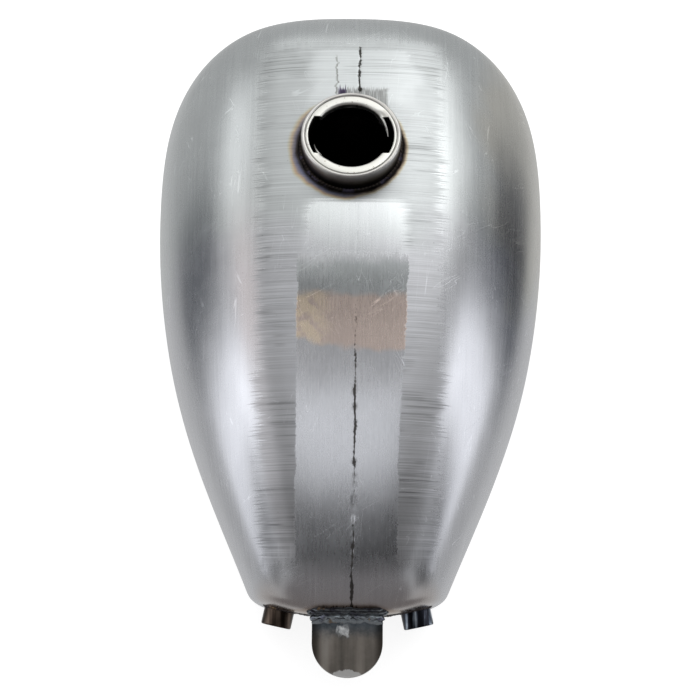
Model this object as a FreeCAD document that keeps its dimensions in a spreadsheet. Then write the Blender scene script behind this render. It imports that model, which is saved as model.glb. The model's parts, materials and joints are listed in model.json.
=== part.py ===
import FreeCAD, Part

# Bare-steel custom motorcycle fuel tank: two drawn half shells welded along the crown,
# a frame tunnel and two base pans underneath, a bayonet filler neck, two rear outlets,
# a rear mounting tongue and two front mounting ears.
# Frame: +Y to the front of the motorcycle, +X to the rider's right, +Z up, millimetres.
# Origin: middle of the footprint, on the plane that the lower edges stand on.

import math
import os

import Sketcher
from FreeCAD import Placement, Rotation, Vector

DIMENSIONS = [
    ("sheet", 1.5, "steel of the shells and the base pans"),
    ("tunnel_sheet", 2.0, "steel of the frame tunnel"),
    ("front_foot_y", 182.0, "front lower edge of the hull"),
    ("hull_run", 320.0, "front lower edge to rear lower edge"),
    ("front_bow_radius", 450.0, "plan radius of the front wall"),
    ("tail_bow_radius", 165.0, "plan radius of the tail wall"),
    ("seam_width", 6.0, "ground crown seam"),
    ("strip_width", 3.0, "flat welds of the underside"),
    ("bead_height", 1.8, "how far a fillet bead stands off the hull"),
    ("bead_leg", 2.6, "how far a fillet bead runs along the hull"),
    ("tunnel_half_width", 31.5, "outside of the tunnel"),
    ("tunnel_front_height", 62.0, "outside crown of the tunnel, in the front wall"),
    ("tunnel_rear_height", 42.0, "outside crown of the tunnel, in the tail wall"),
    ("tunnel_spare", 8.0, "tunnel blank past each wall before it is cut flush"),
    ("mouth_overlap", 1.0, "how far a mouth bead covers the tunnel edge"),
    ("neck_y", 88.0, "filler neck axis where it meets the crown"),
    ("neck_radius", 30.0, "outside of the collar"),
    ("neck_bore_radius", 26.0, "bore of the collar"),
    ("neck_height", 13.8, "collar above the crown"),
    ("neck_depth", 6.0, "collar below the crown"),
    ("neck_lip_radius", 2.4, "rounded outer rim"),
    ("ring_hole_radius", 21.2, "hole of the bayonet ring"),
    ("ring_sheet", 1.4, "steel of the bayonet ring"),
    ("ring_recess", 0.5, "ring face below the collar rim"),
    ("ring_skirt", 5.0, "depth of the ring with its rolled skirt"),
    ("notch_radius", 25.2, "outer wall of the two bayonet notches"),
    ("notch_half_width", 13.0, "half of the notch width"),
    ("ramp_depth", 3.2, "height of the cam ramps"),
    ("outlet_x", 40.5, "outlet axes from the centre plane"),
    ("outlet_z", 37.0, "height of the outlet axes in the tail wall"),
    ("outlet_radius", 9.0, "outside of an outlet bung"),
    ("outlet_bore_radius", 5.7, "tapped bore of an outlet bung"),
    ("outlet_length", 10.5, "bung outside the tail wall"),
    ("outlet_depth", 4.0, "bung inside the tail wall"),
    ("outlet_edge", 1.2, "rounded edge of the bung"),
    ("outlet_bead_leg", 1.3, "how far an outlet bead runs along the wall"),
    ("tongue_width", 41.5, "rear mounting tongue"),
    ("tongue_reach", 37.0, "tongue outside the tail wall"),
    ("tongue_root", 8.0, "tongue blank before it is cut to the tail wall"),
    ("tongue_sheet", 3.0, "steel of the tongue"),
    ("tongue_crown_radius", 130.0, "across the tongue"),
    ("tongue_slope", 16.0, "fall of the tongue towards the rear, degrees"),
    ("tongue_z", 66.0, "upper face of the tongue at the tail wall"),
    ("tongue_bead_rise", 9.5, "heavy bead over the tongue"),
    ("tongue_bead_drop", 7.0, "the same bead under the tongue"),
    ("tongue_bead_flare", 2.8, "the same bead past each side of the tongue"),
    ("tongue_bead_height", 2.6, "heavy bead off the tail wall"),
    ("ear_x", 40.0, "inner face of a front ear from the centre plane"),
    ("ear_sheet", 4.0, "steel of a front ear"),
    ("ear_z", 22.0, "height of the ear eye"),
    ("ear_reach", 15.0, "ear eye ahead of the front lower edge"),
    ("ear_root", 12.0, "ear blank before it is cut to the front wall"),
    ("ear_eye_radius", 10.0, "round end of an ear"),
    ("ear_hole_radius", 4.5, "bolt hole of an ear"),
]

# Stations of the hull from the front to the tail: place along the run (0 front, 1 tail),
# half width, height, lean of the station in degrees (forward positive), how square it is.
STATIONS = [
    (0.000, 85.0, 140.0, 12.0, 0.0),
    (0.030, 114.0, 169.0, 8.0, 0.0),
    (0.170, 119.0, 176.0, 0.0, 0.0),
    (0.370, 117.0, 171.0, -5.0, 0.0),
    (0.570, 106.5, 155.0, -11.0, 0.0),
    (0.735, 89.0, 131.0, -17.0, 0.0),
    (0.875, 70.0, 104.0, -23.0, 0.0),
    (0.965, 59.0, 86.0, -28.0, 0.0),
    (1.000, 57.0, 66.0, -30.0, 0.2),
]
# Walls that close the hull: fractions of the end station's width and height, and squareness.
FRONT_WALL = [(0.26, 0.30, 1.0), (0.50, 0.50, 0.7), (0.78, 0.74, 0.3)]
TAIL_WALL = [(0.70, 0.67, 0.7), (0.39, 0.39, 1.0)]
# Half section from the lower lip round the shoulder to the crown, in half widths and heights.
ROUND_SECTION = [(0.80, 0.0), (0.95, 0.0), (1.05, 0.20), (1.02, 0.66), (0.66, 1.0), (0.0, 1.0)]
SQUARE_SECTION = [(1.0, 0.0), (1.0, 0.15), (1.0, 0.40), (1.0, 0.98), (0.55, 1.0), (0.0, 1.0)]
# The end walls are straight at the lip and reach their full bow this fraction of the way up.
BOW_RISE = 2.5

FAR = 600.0
SIDES = (("left", -1), ("right", 1))

doc = FreeCAD.newDocument("fuel_tank")
sheet = doc.addObject("Spreadsheet::Sheet", "dims")
for row, (alias, value, note) in enumerate(DIMENSIONS, start=1):
    sheet.set(f"A{row}", alias)
    sheet.set(f"B{row}", str(value))
    sheet.set(f"C{row}", note)
    sheet.setAlias(f"B{row}", alias)
doc.recompute()

nodes = []


def dim(alias):
    return float(sheet.get(alias))


def node(obj, label):
    """Name an object as one of the tank's sub-parts."""
    obj.Label = label
    nodes.append(obj)
    return obj


def value_of(expression):
    result = sheet.evalExpression(str(expression).replace("dims.", ""))
    return float(getattr(result, "Value", result))


# ---------------------------------------------------------------- sketches and features

def new_body(label):
    body = doc.addObject("PartDesign::Body", label + "_body")
    body.Label = label + "_body"
    return body


def new_sketch(body, name, role, offset=None):
    """Sketch on an origin plane of its own body."""
    plane = next(f for f in body.Origin.OriginFeatures if f.Role == role)
    sketch = body.newObject("Sketcher::SketchObject", name)
    sketch.AttachmentSupport = (plane, [""])
    sketch.MapMode = "FlatFace"
    sketch.AttachmentOffset = offset or Placement()
    return sketch


def hold(sketch, kind, geometry, point, expression):
    """Fix one coordinate of a point; the value follows the sheet."""
    value = value_of(expression)
    if abs(value) < 1e-9:
        axis = -2 if kind == "DistanceX" else -1
        sketch.addConstraint(Sketcher.Constraint("PointOnObject", geometry, point, axis))
        return
    index = sketch.addConstraint(Sketcher.Constraint(kind, geometry, point, value))
    sketch.setExpression(f"Constraints[{index}]", str(expression))


def closed_outline(sketch, corners, arcs=None):
    """Closed outline through corners given as expressions.

    arcs maps a side's index to (centre x, centre y, axis that is held, turns left).
    """
    arcs = arcs or {}
    points = [Vector(value_of(x), value_of(y), 0) for x, y in corners]
    ends = []
    for side, start in enumerate(points):
        end = points[(side + 1) % len(points)]
        if side not in arcs:
            geometry = sketch.addGeometry(Part.LineSegment(start, end), False)
            ends.append((geometry, 1, 2))
            continue
        centre_x, centre_y, axis, left = arcs[side]
        centre = Vector(value_of(centre_x), value_of(centre_y), 0)
        first, last = (start, end) if left else (end, start)
        angles = [math.atan2(p.y - centre.y, p.x - centre.x) for p in (first, last)]
        circle = Part.Circle(centre, Vector(0, 0, 1), (start - centre).Length)
        geometry = sketch.addGeometry(Part.ArcOfCircle(circle, *angles), False)
        ends.append((geometry, 1, 2) if left else (geometry, 2, 1))
        hold(sketch, axis, geometry, 3, centre_x if axis == "DistanceX" else centre_y)
    for side, (geometry, start, end) in enumerate(ends):
        following = ends[(side + 1) % len(ends)]
        sketch.addConstraint(
            Sketcher.Constraint("Coincident", geometry, end, following[0], following[1]))
        hold(sketch, "DistanceX", geometry, start, corners[side][0])
        hold(sketch, "DistanceY", geometry, start, corners[side][1])


def circle_outline(sketch, x, y, radius):
    centre = Vector(value_of(x), value_of(y), 0)
    circle = Part.Circle(centre, Vector(0, 0, 1), value_of(radius))
    geometry = sketch.addGeometry(circle, False)
    hold(sketch, "DistanceX", geometry, 3, x)
    hold(sketch, "DistanceY", geometry, 3, y)
    index = sketch.addConstraint(Sketcher.Constraint("Radius", geometry, value_of(radius)))
    sketch.setExpression(f"Constraints[{index}]", str(radius))


def pad(body, sketch, length, midplane=False, backwards=False):
    feature = body.newObject("PartDesign::Pad", sketch.Name + "_pad")
    feature.Profile = sketch
    feature.Length = value_of(length)
    feature.setExpression("Length", str(length))
    feature.Midplane = midplane
    feature.Reversed = backwards
    doc.recompute()
    return feature


def revolve(body, sketch):
    feature = body.newObject("PartDesign::Revolution", sketch.Name + "_turned")
    feature.Profile = sketch
    feature.ReferenceAxis = (sketch, ["V_Axis"])
    feature.Angle = 360
    doc.recompute()
    return feature


def pocket_through(body, sketch):
    """Pocket right through the solid, both ways; it has to take material away."""
    before = body.Shape.Volume
    feature = body.newObject("PartDesign::Pocket", sketch.Name + "_pocket")
    feature.Profile = sketch
    feature.Length = FAR
    feature.Midplane = True
    doc.recompute()
    if not body.Shape.Volume < before - 1:
        raise RuntimeError(sketch.Name + " cuts nothing")
    return feature


def boolean(kind, name, base, tool):
    feature = doc.addObject("Part::" + kind, name)
    feature.Base = base
    feature.Tool = tool
    doc.recompute()
    return feature


def shape_object(name, shape):
    feature = doc.addObject("Part::Feature", name)
    feature.Shape = shape
    return feature


def block(name, low, high):
    """Box between two corners; each coordinate is an expression."""
    feature = doc.addObject("Part::Box", name)
    for size, start, end in zip(("Length", "Width", "Height"), low, high):
        feature.setExpression(size, f"({end}) - ({start})")
    for axis, start in zip("xyz", low):
        feature.setExpression("Placement.Base." + axis, str(start))
    doc.recompute()
    return feature


# ------------------------------------------------------------------------ hull surface

def station_points(place, half_width, height, lean, squareness, bow):
    """Poles of one station: left half, crown, right half."""
    foot_y = dim("front_foot_y") - place * dim("hull_run")
    right = []
    for (rx, rz), (qx, qz) in zip(ROUND_SECTION, SQUARE_SECTION):
        x = half_width * (rx + squareness * (qx - rx))
        z = height * (rz + squareness * (qz - rz))
        above_lip = min(1.0, BOW_RISE * z / height)
        y = foot_y + math.tan(math.radians(lean)) * z + bow * x * x * above_lip
        right.append(Vector(x, y, z))
    left = [Vector(-p.x, p.y, p.z) for p in right[:-1]]
    return left + right[::-1]


def hull_poles():
    """Net of poles over the whole hull: front wall, stations, tail wall."""
    front_bow = -0.5 / dim("front_bow_radius")
    tail_bow = 0.5 / dim("tail_bow_radius")
    first, last = STATIONS[0], STATIONS[-1]
    bows = {0: front_bow, 1: front_bow / 2,
            len(STATIONS) - 2: tail_bow / 2, len(STATIONS) - 1: tail_bow}
    net = []
    for index, (wide, high, square) in enumerate(FRONT_WALL):
        bow = front_bow if index else 0.0
        net.append(station_points(first[0], first[1] * wide, first[2] * high, first[3], square, bow))
    for index, station in enumerate(STATIONS):
        net.append(station_points(*station, bows.get(index, 0.0)))
    for index, (wide, high, square) in enumerate(TAIL_WALL):
        bow = 0.0 if index == len(TAIL_WALL) - 1 else tail_bow
        net.append(station_points(last[0], last[1] * wide, last[2] * high, last[3], square, bow))
    return net


def cubic_knots(count):
    """Knots and multiplicities of a clamped uniform cubic spline with count poles."""
    spans = count - 3
    return [i / spans for i in range(spans + 1)], [4] + [1] * (spans - 1) + [4]


def hull_face():
    net = hull_poles()
    knots_u, mults_u = cubic_knots(len(net))
    knots_v, mults_v = cubic_knots(len(net[0]))
    surface = Part.BSplineSurface()
    surface.buildFromPolesMultsKnots(
        net, mults_u, mults_v, knots_u, knots_v, False, False, 3, 3)
    return surface.toShape()


def filled_hull(face):
    """Solid inside the hull: the skin closed by its flat base and its two end arches."""
    curves = [edge for edge in face.Edges if edge.Length > 1e-3]
    on_base = [e for e in curves if max(abs(v) for v in (e.BoundBox.ZMin, e.BoundBox.ZMax)) < 1e-6]
    arches = [e for e in curves if e not in on_base]
    closing = []
    chords = []
    for arch in arches:
        ends = [vertex.Point for vertex in arch.Vertexes]
        chord = Part.makeLine(*ends)
        chords.append(chord)
        closing.append(Part.Face(Part.Wire(Part.__sortEdges__([arch, chord]))))
    base = Part.Face(Part.Wire(Part.__sortEdges__(on_base + chords)))
    shell = Part.Shell(closing + [base, face])
    shell.sewShape()
    return Part.makeSolid(shell)


def hull_point(face, low, high):
    """Where a straight line meets the hull, with the outward normal there."""
    vertex = face.section(Part.makeLine(low, high)).Vertexes[0].Point
    u, v = face.Surface.parameter(vertex)
    normal = face.normalAt(u, v)
    if normal.dot(high - low) < 0:
        normal = -normal
    return vertex, normal


# ---------------------------------------------------------------------------- sub-parts

def tunnel_sections(body, grow, drop):
    """Two inverted-U sections, one past each wall; grow offsets them outwards."""
    run = dim("hull_run")
    walls = (
        ("front", "tunnel_front_height", STATIONS[0][3], dim("front_foot_y") + dim("tunnel_spare")),
        ("rear", "tunnel_rear_height", STATIONS[-1][3],
         dim("front_foot_y") - run - dim("tunnel_spare")),
    )
    sketches = []
    for name, height, lean, foot_y in walls:
        offset = Placement(Vector(0, 0, -foot_y), Rotation(Vector(1, 0, 0), -lean))
        sketch = new_sketch(body, f"{body.Label}_{name}_{drop}", "XZ_Plane", offset)
        half = f"dims.tunnel_half_width + {grow}"
        spring = f"dims.{height} - dims.tunnel_half_width"
        closed_outline(
            sketch,
            [(f"-({half})", f"-{drop}"), (half, f"-{drop}"), (half, spring), (f"-({half})", spring)],
            {2: ("0", spring, "DistanceY", True)})
        sketches.append(sketch)
    return sketches


def tunnel_loft(body, kind, grow, drop):
    front, rear = tunnel_sections(body, grow, drop)
    loft = body.newObject("PartDesign::" + kind, f"{body.Label}_{kind}_{drop}")
    loft.Profile = front
    loft.Sections = [rear]
    loft.Ruled = True
    doc.recompute()
    return loft


def tunnel_envelope(label, grow):
    """Everything under the tunnel's outer face, grown outwards."""
    body = new_body(label)
    tunnel_loft(body, "AdditiveLoft", grow, 20)
    return body


def make_tunnel():
    body = new_body("frame_tunnel")
    tunnel_loft(body, "AdditiveLoft", "0", 0)
    before = body.Shape.Volume
    tunnel_loft(body, "SubtractiveLoft", "-dims.tunnel_sheet", 10)
    if not body.Shape.Volume < before / 2:
        raise RuntimeError("the tunnel is not hollow")
    node(boolean("Common", "tunnel_cut_to_walls", body, filled), "frame_tunnel")


def make_mouth_welds():
    ring = boolean("Cut", "mouth_bead_ring", tunnel_envelope("mouth_bead_outside", "dims.bead_leg"),
                   tunnel_envelope("mouth_bead_inside", "-dims.mouth_overlap"))
    beads = boolean("Common", "mouth_beads", bead_layer, ring)
    middle = f"{dim('front_foot_y') - dim('hull_run') / 2}"
    for name, near, far in (("front", middle, f"{FAR}"), ("rear", f"-{FAR}", middle)):
        half = block(f"{name}_mouth_half", (f"-{FAR}", near, "0"), (f"{FAR}", far, f"{FAR}"))
        node(boolean("Common", f"{name}_mouth_bead", beads, half), f"{name}_mouth_weld")


def axis_placement(point, normal):
    return Placement(point, Rotation(Vector(0, 0, 1), normal))


def cylinder(name, radius, low, high, place):
    """Cylinder along a placed Z axis, between two heights."""
    feature = doc.addObject("Part::Cylinder", name)
    feature.setExpression("Radius", radius)
    feature.setExpression("Height", f"({high}) - ({low})")
    feature.Placement = place.multiply(Placement(Vector(0, 0, value_of(low)), Rotation()))
    doc.recompute()
    return feature


def bead_around(label, radius, leg, place):
    """Fillet bead on the hull around a round fitting."""
    outside = cylinder(label + "_outside", f"{radius} + {leg}", "-15", "15", place)
    inside = cylinder(label + "_inside", radius, "-16", "16", place)
    ring = boolean("Cut", label + "_ring", outside, inside)
    node(boolean("Common", label + "_bead", bead_layer, ring), label)


def turned_collar(label, bore, radius, low, high, edge, place):
    """Turned ring with one rounded outer edge, standing on a placed Z axis."""
    body = new_body(label)
    sketch = new_sketch(body, label + "_section", "XZ_Plane")
    shoulder = f"{high} - {edge}"
    rim = f"{radius} - {edge}"
    closed_outline(
        sketch,
        [(bore, f"-{low}"), (radius, f"-{low}"), (radius, shoulder), (rim, high), (bore, high)],
        {2: (rim, shoulder, "DistanceX", True)})
    revolve(body, sketch)
    body.Placement = place
    doc.recompute()
    node(body, label)


def make_neck():
    turned_collar("filler_neck", "dims.neck_bore_radius", "dims.neck_radius",
                  "dims.neck_depth", "dims.neck_height", "dims.neck_lip_radius", neck_place)
    bead_around("filler_neck_weld", "dims.neck_radius", "dims.bead_leg", neck_place)


def make_bayonet_ring():
    """Flanged ring with two notches, a rolled skirt and a cam ramp beside each notch."""
    body = new_body("bayonet_ring")
    top = "dims.neck_height - dims.ring_recess"
    under = f"{top} - dims.ring_sheet"
    skirt = f"{top} - dims.ring_skirt"
    wall = "dims.ring_hole_radius + dims.ring_sheet"
    section = new_sketch(body, "ring_section", "XZ_Plane")
    closed_outline(section, [
        ("dims.ring_hole_radius", skirt), (wall, skirt), (wall, under),
        ("dims.neck_bore_radius", under), ("dims.neck_bore_radius", top),
        ("dims.ring_hole_radius", top)])
    revolve(body, section)
    notches = new_sketch(body, "ring_notches", "XY_Plane")
    reach = "sqrt(dims.notch_radius ^ 2 - dims.notch_half_width ^ 2)"
    side = "dims.notch_half_width"
    closed_outline(
        notches,
        [(reach, f"-{side}"), (reach, side), (f"-{reach}", side), (f"-{reach}", f"-{side}")],
        {0: ("0", "0", "DistanceX", True), 2: ("0", "0", "DistanceX", True)})
    pocket_through(body, notches)
    low = f"{skirt} - dims.ramp_depth / 2"
    offset = Placement(Vector(0, 0, value_of(low)), Rotation())
    ramp = new_sketch(body, "ring_ramp", "XY_Plane", offset)
    first, last = 8.0, 42.0
    corners = [(f"({r}) * cos({a} deg)", f"({r}) * sin({a} deg)")
               for r, a in (("dims.ring_hole_radius", first), (wall, first),
                            (wall, last), ("dims.ring_hole_radius", last))]
    closed_outline(ramp, corners, {1: ("0", "0", "DistanceX", True), 3: ("0", "0", "DistanceX", False)})
    ramp_pad = pad(body, ramp, "dims.ramp_depth")
    pair = body.newObject("PartDesign::PolarPattern", "ring_ramps")
    pair.Originals = [ramp_pad]
    pair.Axis = (ramp, ["N_Axis"])
    pair.Angle = 360
    pair.Occurrences = 2
    body.Tip = pair
    body.Placement = neck_place
    doc.recompute()
    node(body, "bayonet_ring")


def make_outlets():
    for side, place in outlet_places.items():
        turned_collar(f"{side}_fuel_outlet", "dims.outlet_bore_radius", "dims.outlet_radius",
                      "dims.outlet_depth", "dims.outlet_length", "dims.outlet_edge", place)
        bead_around(f"{side}_outlet_weld", "dims.outlet_radius", "dims.outlet_bead_leg", place)


def make_tongue():
    """Crowned plate with a half-round end, cut to the tail wall, in its heavy bead."""
    body = new_body("rear_tongue")
    half = "dims.tongue_width / 2"
    crown = "dims.tongue_crown_radius"
    upper = f"sqrt({crown} ^ 2 - ({half}) ^ 2) - {crown}"
    lower = f"sqrt(({crown} - dims.tongue_sheet) ^ 2 - ({half}) ^ 2) - {crown}"
    offset = Placement(Vector(0, 0, -dim("tongue_root")), Rotation())
    section = new_sketch(body, "tongue_section", "XZ_Plane", offset)
    closed_outline(
        section,
        [(f"-({half})", lower), (half, lower), (half, upper), (f"-({half})", upper)],
        {0: ("0", f"-{crown}", "DistanceY", False), 2: ("0", f"-{crown}", "DistanceY", True)})
    pad(body, section, "dims.tongue_root + dims.tongue_reach")
    end = new_sketch(body, "tongue_end", "XY_Plane")
    centre = f"{half} - dims.tongue_reach"
    past = "-dims.tongue_reach - dims.tongue_root"
    closed_outline(
        end,
        [(f"-({half})", centre), (half, centre), ("dims.tongue_width", centre),
         ("dims.tongue_width", past), ("-dims.tongue_width", past), ("-dims.tongue_width", centre)],
        {0: ("0", centre, "DistanceY", True)})
    pocket_through(body, end)
    body.Placement = tongue_place
    doc.recompute()
    tongue = node(boolean("Cut", "tongue_cut_to_wall", body, filled), "rear_tongue")
    reach = "dims.tongue_width / 2 + dims.tongue_bead_flare"
    around = block("tongue_bead_block",
                   (f"-({reach})", f"-{FAR}", "dims.tongue_z - dims.tongue_bead_drop"),
                   (reach, "0", "dims.tongue_z + dims.tongue_bead_rise"))
    bead = boolean("Common", "tongue_bead_blank", heavy_layer, around)
    node(boolean("Cut", "tongue_bead", bead, tongue), "rear_tongue_weld")


def make_ears():
    """Two upright plates on the front wall, each with a bolt hole across the tank."""
    for side, sign in SIDES:
        label = side + "_front_ear"
        body = new_body(label)
        inner = sign * dim("ear_x")
        low_x = min(inner, inner + sign * dim("ear_sheet"))
        offset = Placement(Vector(0, 0, low_x), Rotation())
        sketch = new_sketch(body, label + "_outline", "YZ_Plane", offset)
        root = "dims.front_foot_y - dims.ear_root"
        eye = "dims.front_foot_y + dims.ear_reach"
        low, high = "dims.ear_z - dims.ear_eye_radius", "dims.ear_z + dims.ear_eye_radius"
        closed_outline(sketch, [(root, low), (eye, low), (eye, high), (root, high)],
                       {1: (eye, "dims.ear_z", "DistanceX", True)})
        circle_outline(sketch, eye, "dims.ear_z", "dims.ear_hole_radius")
        pad(body, sketch, "dims.ear_sheet")
        ear = node(boolean("Cut", label + "_cut_to_wall", body, filled), label)
        leg = "dims.bead_leg"
        around = block(
            label + "_bead_block",
            (f"{low_x} - {leg}", root, f"{low} - {leg}"),
            (f"{low_x} + dims.ear_sheet + {leg}", f"{FAR}", f"{high} + {leg}"))
        bead = boolean("Common", label + "_bead_blank", bead_layer, around)
        node(boolean("Cut", label + "_bead", bead, ear), label + "_weld")


def make_shells():
    """Skin with every opening cut, split along the crown into shell, seam and shell."""
    openings = doc.addObject("Part::MultiFuse", "hull_openings")
    tools = [tunnel_envelope("tunnel_opening", "0"),
             cylinder("neck_opening", "dims.neck_radius", "-20", "20", neck_place)]
    for side, place in outlet_places.items():
        tools.append(cylinder(f"{side}_outlet_opening", "dims.outlet_radius", "-12", "12", place))
    openings.Shapes = tools
    doc.recompute()
    open_skin = boolean("Cut", "open_skin", skin, openings)
    edge = "dims.seam_width / 2"
    for label, low, high in (("top_seam_weld", f"-({edge})", edge), ("right_shell", edge, f"{FAR}")):
        strip = block(label + "_block", (low, f"-{FAR}", "-50"), (high, f"{FAR}", f"{FAR}"))
        piece = node(boolean("Common", label + "_piece", open_skin, strip), label)
    mirrored = doc.addObject("Part::Mirroring", "left_shell_piece")
    mirrored.Source = piece
    mirrored.Normal = Vector(1, 0, 0)
    doc.recompute()
    node(mirrored, "left_shell")


def lip_outline(inset):
    """Flat face inside the hull's lower edge, moved in from both sides."""
    poles = [Vector(points[-1].x - inset, points[-1].y, 0) for points in hull_poles()]
    knots, mults = cubic_knots(len(poles))
    edges = []
    for sign in (1, -1):
        curve = Part.BSplineCurve()
        curve.buildFromPolesMultsKnots(
            [Vector(sign * p.x, p.y, 0) for p in poles], mults, knots, False, 3)
        edges.append(curve.toShape())
    for pole in (poles[0], poles[-1]):
        edges.append(Part.makeLine(pole, Vector(-pole.x, pole.y, 0)))
    return Part.Face(Part.Wire(Part.__sortEdges__(edges)))


def floor_slab(name, inset, wall_gap):
    """Flat sheet between the lips, kept off the front and tail walls."""
    slab = doc.addObject("Part::Extrusion", name)
    slab.Base = shape_object(name + "_outline", lip_outline(inset))
    slab.DirMode = "Custom"
    slab.Dir = Vector(0, 0, 1)
    slab.setExpression("LengthFwd", "dims.sheet")
    slab.Solid = True
    rear = f"dims.front_foot_y - dims.hull_run + {wall_gap}"
    front = f"dims.front_foot_y - ({wall_gap})"
    between = block(name + "_block", (f"-{FAR}", rear, "-5"), (f"{FAR}", front, "5"))
    return boolean("Common", name + "_cut", slab, between)


def make_base():
    """Base pans between the lips and the tunnel, with the flat welds round them."""
    inner = "dims.tunnel_half_width"
    outer = f"{inner} + dims.strip_width"
    whole = floor_slab("floor_slab", 0, "dims.sheet * 1.2")
    pan = floor_slab("pan_slab", dim("strip_width"), "dims.sheet * 1.2 + dims.strip_width")
    rim = boolean("Cut", "lip_strip", whole, pan)
    for side, sign in SIDES:
        pieces = ((f"{side}_base_pan", pan, outer, f"{FAR}"),
                  (f"{side}_tunnel_weld", pan, inner, outer),
                  (f"{side}_pan_weld", rim, inner, f"{FAR}"))
        for label, stock, near, far in pieces:
            low, high = (near, far) if sign > 0 else (f"-({far})", f"-({near})")
            strip = block(label + "_block", (low, f"-{FAR}", "-1"), (high, f"{FAR}", "5"))
            node(boolean("Common", label + "_piece", stock, strip), label)


face = hull_face()
skin = shape_object("hull_skin", face.makeOffsetShape(-dim("sheet"), 0.01, fill=True))
filled = shape_object("hull_inside", filled_hull(face))
bead_layer = shape_object("bead_layer", face.makeOffsetShape(dim("bead_height"), 0.01, fill=True))
heavy_layer = shape_object(
    "heavy_bead_layer", face.makeOffsetShape(dim("tongue_bead_height"), 0.01, fill=True))

neck_foot = Vector(0, dim("neck_y"), 0)
neck_place = axis_placement(*hull_point(face, neck_foot, neck_foot + Vector(0, 0, FAR)))
outlet_places = {}
for side, sign in SIDES:
    start = Vector(sign * dim("outlet_x"), 0, dim("outlet_z"))
    outlet_places[side] = axis_placement(*hull_point(face, start, start - Vector(0, FAR, 0)))
tongue_start = Vector(0, 0, dim("tongue_z"))
tongue_point, _ = hull_point(face, tongue_start, tongue_start - Vector(0, FAR, 0))
tongue_place = Placement(tongue_point, Rotation(Vector(1, 0, 0), dim("tongue_slope")))

make_shells()
make_tunnel()
make_base()
make_mouth_welds()
make_neck()
make_bayonet_ring()
make_outlets()
make_tongue()
make_ears()
doc.recompute()

for obj in doc.Objects:
    if "Invalid" in obj.State or "Error" in obj.State:
        raise RuntimeError(f"{obj.Label} failed: {obj.State}")
for obj in nodes:
    if obj.Shape.isNull() or not obj.Shape.isValid():
        raise RuntimeError(f"{obj.Label} has no valid shape")
    if not obj.Shape.Solids:
        raise RuntimeError(f"{obj.Label} has no solid")

low_corner, high_corner = Vector(FAR, FAR, FAR), Vector(-FAR, -FAR, -FAR)
os.makedirs("parts", exist_ok=True)
for obj in nodes:
    obj.Shape.exportStep(f"parts/{obj.Label}.step")
    box = obj.Shape.optimalBoundingBox(False, False)
    low_corner = Vector(*map(min, low_corner, Vector(box.XMin, box.YMin, box.ZMin)))
    high_corner = Vector(*map(max, high_corner, Vector(box.XMax, box.YMax, box.ZMax)))
    print(obj.Label, len(obj.Shape.Solids), "solids", round(obj.Shape.Volume), "mm3", box)
print("low corner", low_corner, "high corner", high_corner)
print("neck", neck_place, "outlet", outlet_places["right"], "tongue", tongue_point)
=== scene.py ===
import json
import math

import bpy
import numpy as np
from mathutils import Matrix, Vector
from mathutils.bvhtree import BVHTree


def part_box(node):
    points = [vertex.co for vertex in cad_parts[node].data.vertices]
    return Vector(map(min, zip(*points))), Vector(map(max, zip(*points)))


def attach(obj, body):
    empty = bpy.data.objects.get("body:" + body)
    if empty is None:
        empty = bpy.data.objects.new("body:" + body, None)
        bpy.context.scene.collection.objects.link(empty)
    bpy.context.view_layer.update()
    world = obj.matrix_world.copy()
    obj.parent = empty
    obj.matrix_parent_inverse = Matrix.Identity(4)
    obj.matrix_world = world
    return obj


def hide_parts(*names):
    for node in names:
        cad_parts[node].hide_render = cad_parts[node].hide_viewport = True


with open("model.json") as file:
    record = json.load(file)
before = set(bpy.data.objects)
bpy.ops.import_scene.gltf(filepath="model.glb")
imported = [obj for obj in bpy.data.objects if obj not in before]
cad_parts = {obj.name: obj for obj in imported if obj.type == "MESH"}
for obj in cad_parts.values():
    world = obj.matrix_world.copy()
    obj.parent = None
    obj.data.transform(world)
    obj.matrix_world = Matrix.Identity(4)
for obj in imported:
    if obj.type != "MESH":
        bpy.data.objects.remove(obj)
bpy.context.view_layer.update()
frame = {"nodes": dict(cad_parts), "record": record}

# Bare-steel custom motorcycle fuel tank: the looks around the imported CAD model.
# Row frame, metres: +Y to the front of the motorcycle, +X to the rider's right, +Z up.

MM = 0.001
MOUNTS = {mount["name"]: mount for mount in frame["record"]["mounts"]}
SIDES = (("left", -1), ("right", 1))
bpy.context.scene.view_settings.view_transform = "Standard"

# ---- hull surface

SHEET = 1.5 * MM
FRONT_FOOT = 182.0          # millimetres, as are the stations
HULL_RUN = 320.0
FRONT_BOW_RADIUS = 450.0
TAIL_BOW_RADIUS = 165.0
BOW_RISE = 2.5
# Stations from the front to the tail: place along the run, half width, height,
# lean in degrees (forward positive), how square the section is.
STATIONS = (
    (0.000, 85.0, 140.0, 12.0, 0.0),
    (0.030, 114.0, 169.0, 8.0, 0.0),
    (0.170, 119.0, 176.0, 0.0, 0.0),
    (0.370, 117.0, 171.0, -5.0, 0.0),
    (0.570, 106.5, 155.0, -11.0, 0.0),
    (0.735, 89.0, 131.0, -17.0, 0.0),
    (0.875, 70.0, 104.0, -23.0, 0.0),
    (0.965, 59.0, 86.0, -28.0, 0.0),
    (1.000, 57.0, 66.0, -30.0, 0.2),
)
# Walls that close the hull: fractions of the end station's width and height, squareness.
FRONT_WALL = ((0.26, 0.30, 1.0), (0.50, 0.50, 0.7), (0.78, 0.74, 0.3))
TAIL_WALL = ((0.70, 0.67, 0.7), (0.39, 0.39, 1.0))
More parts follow.
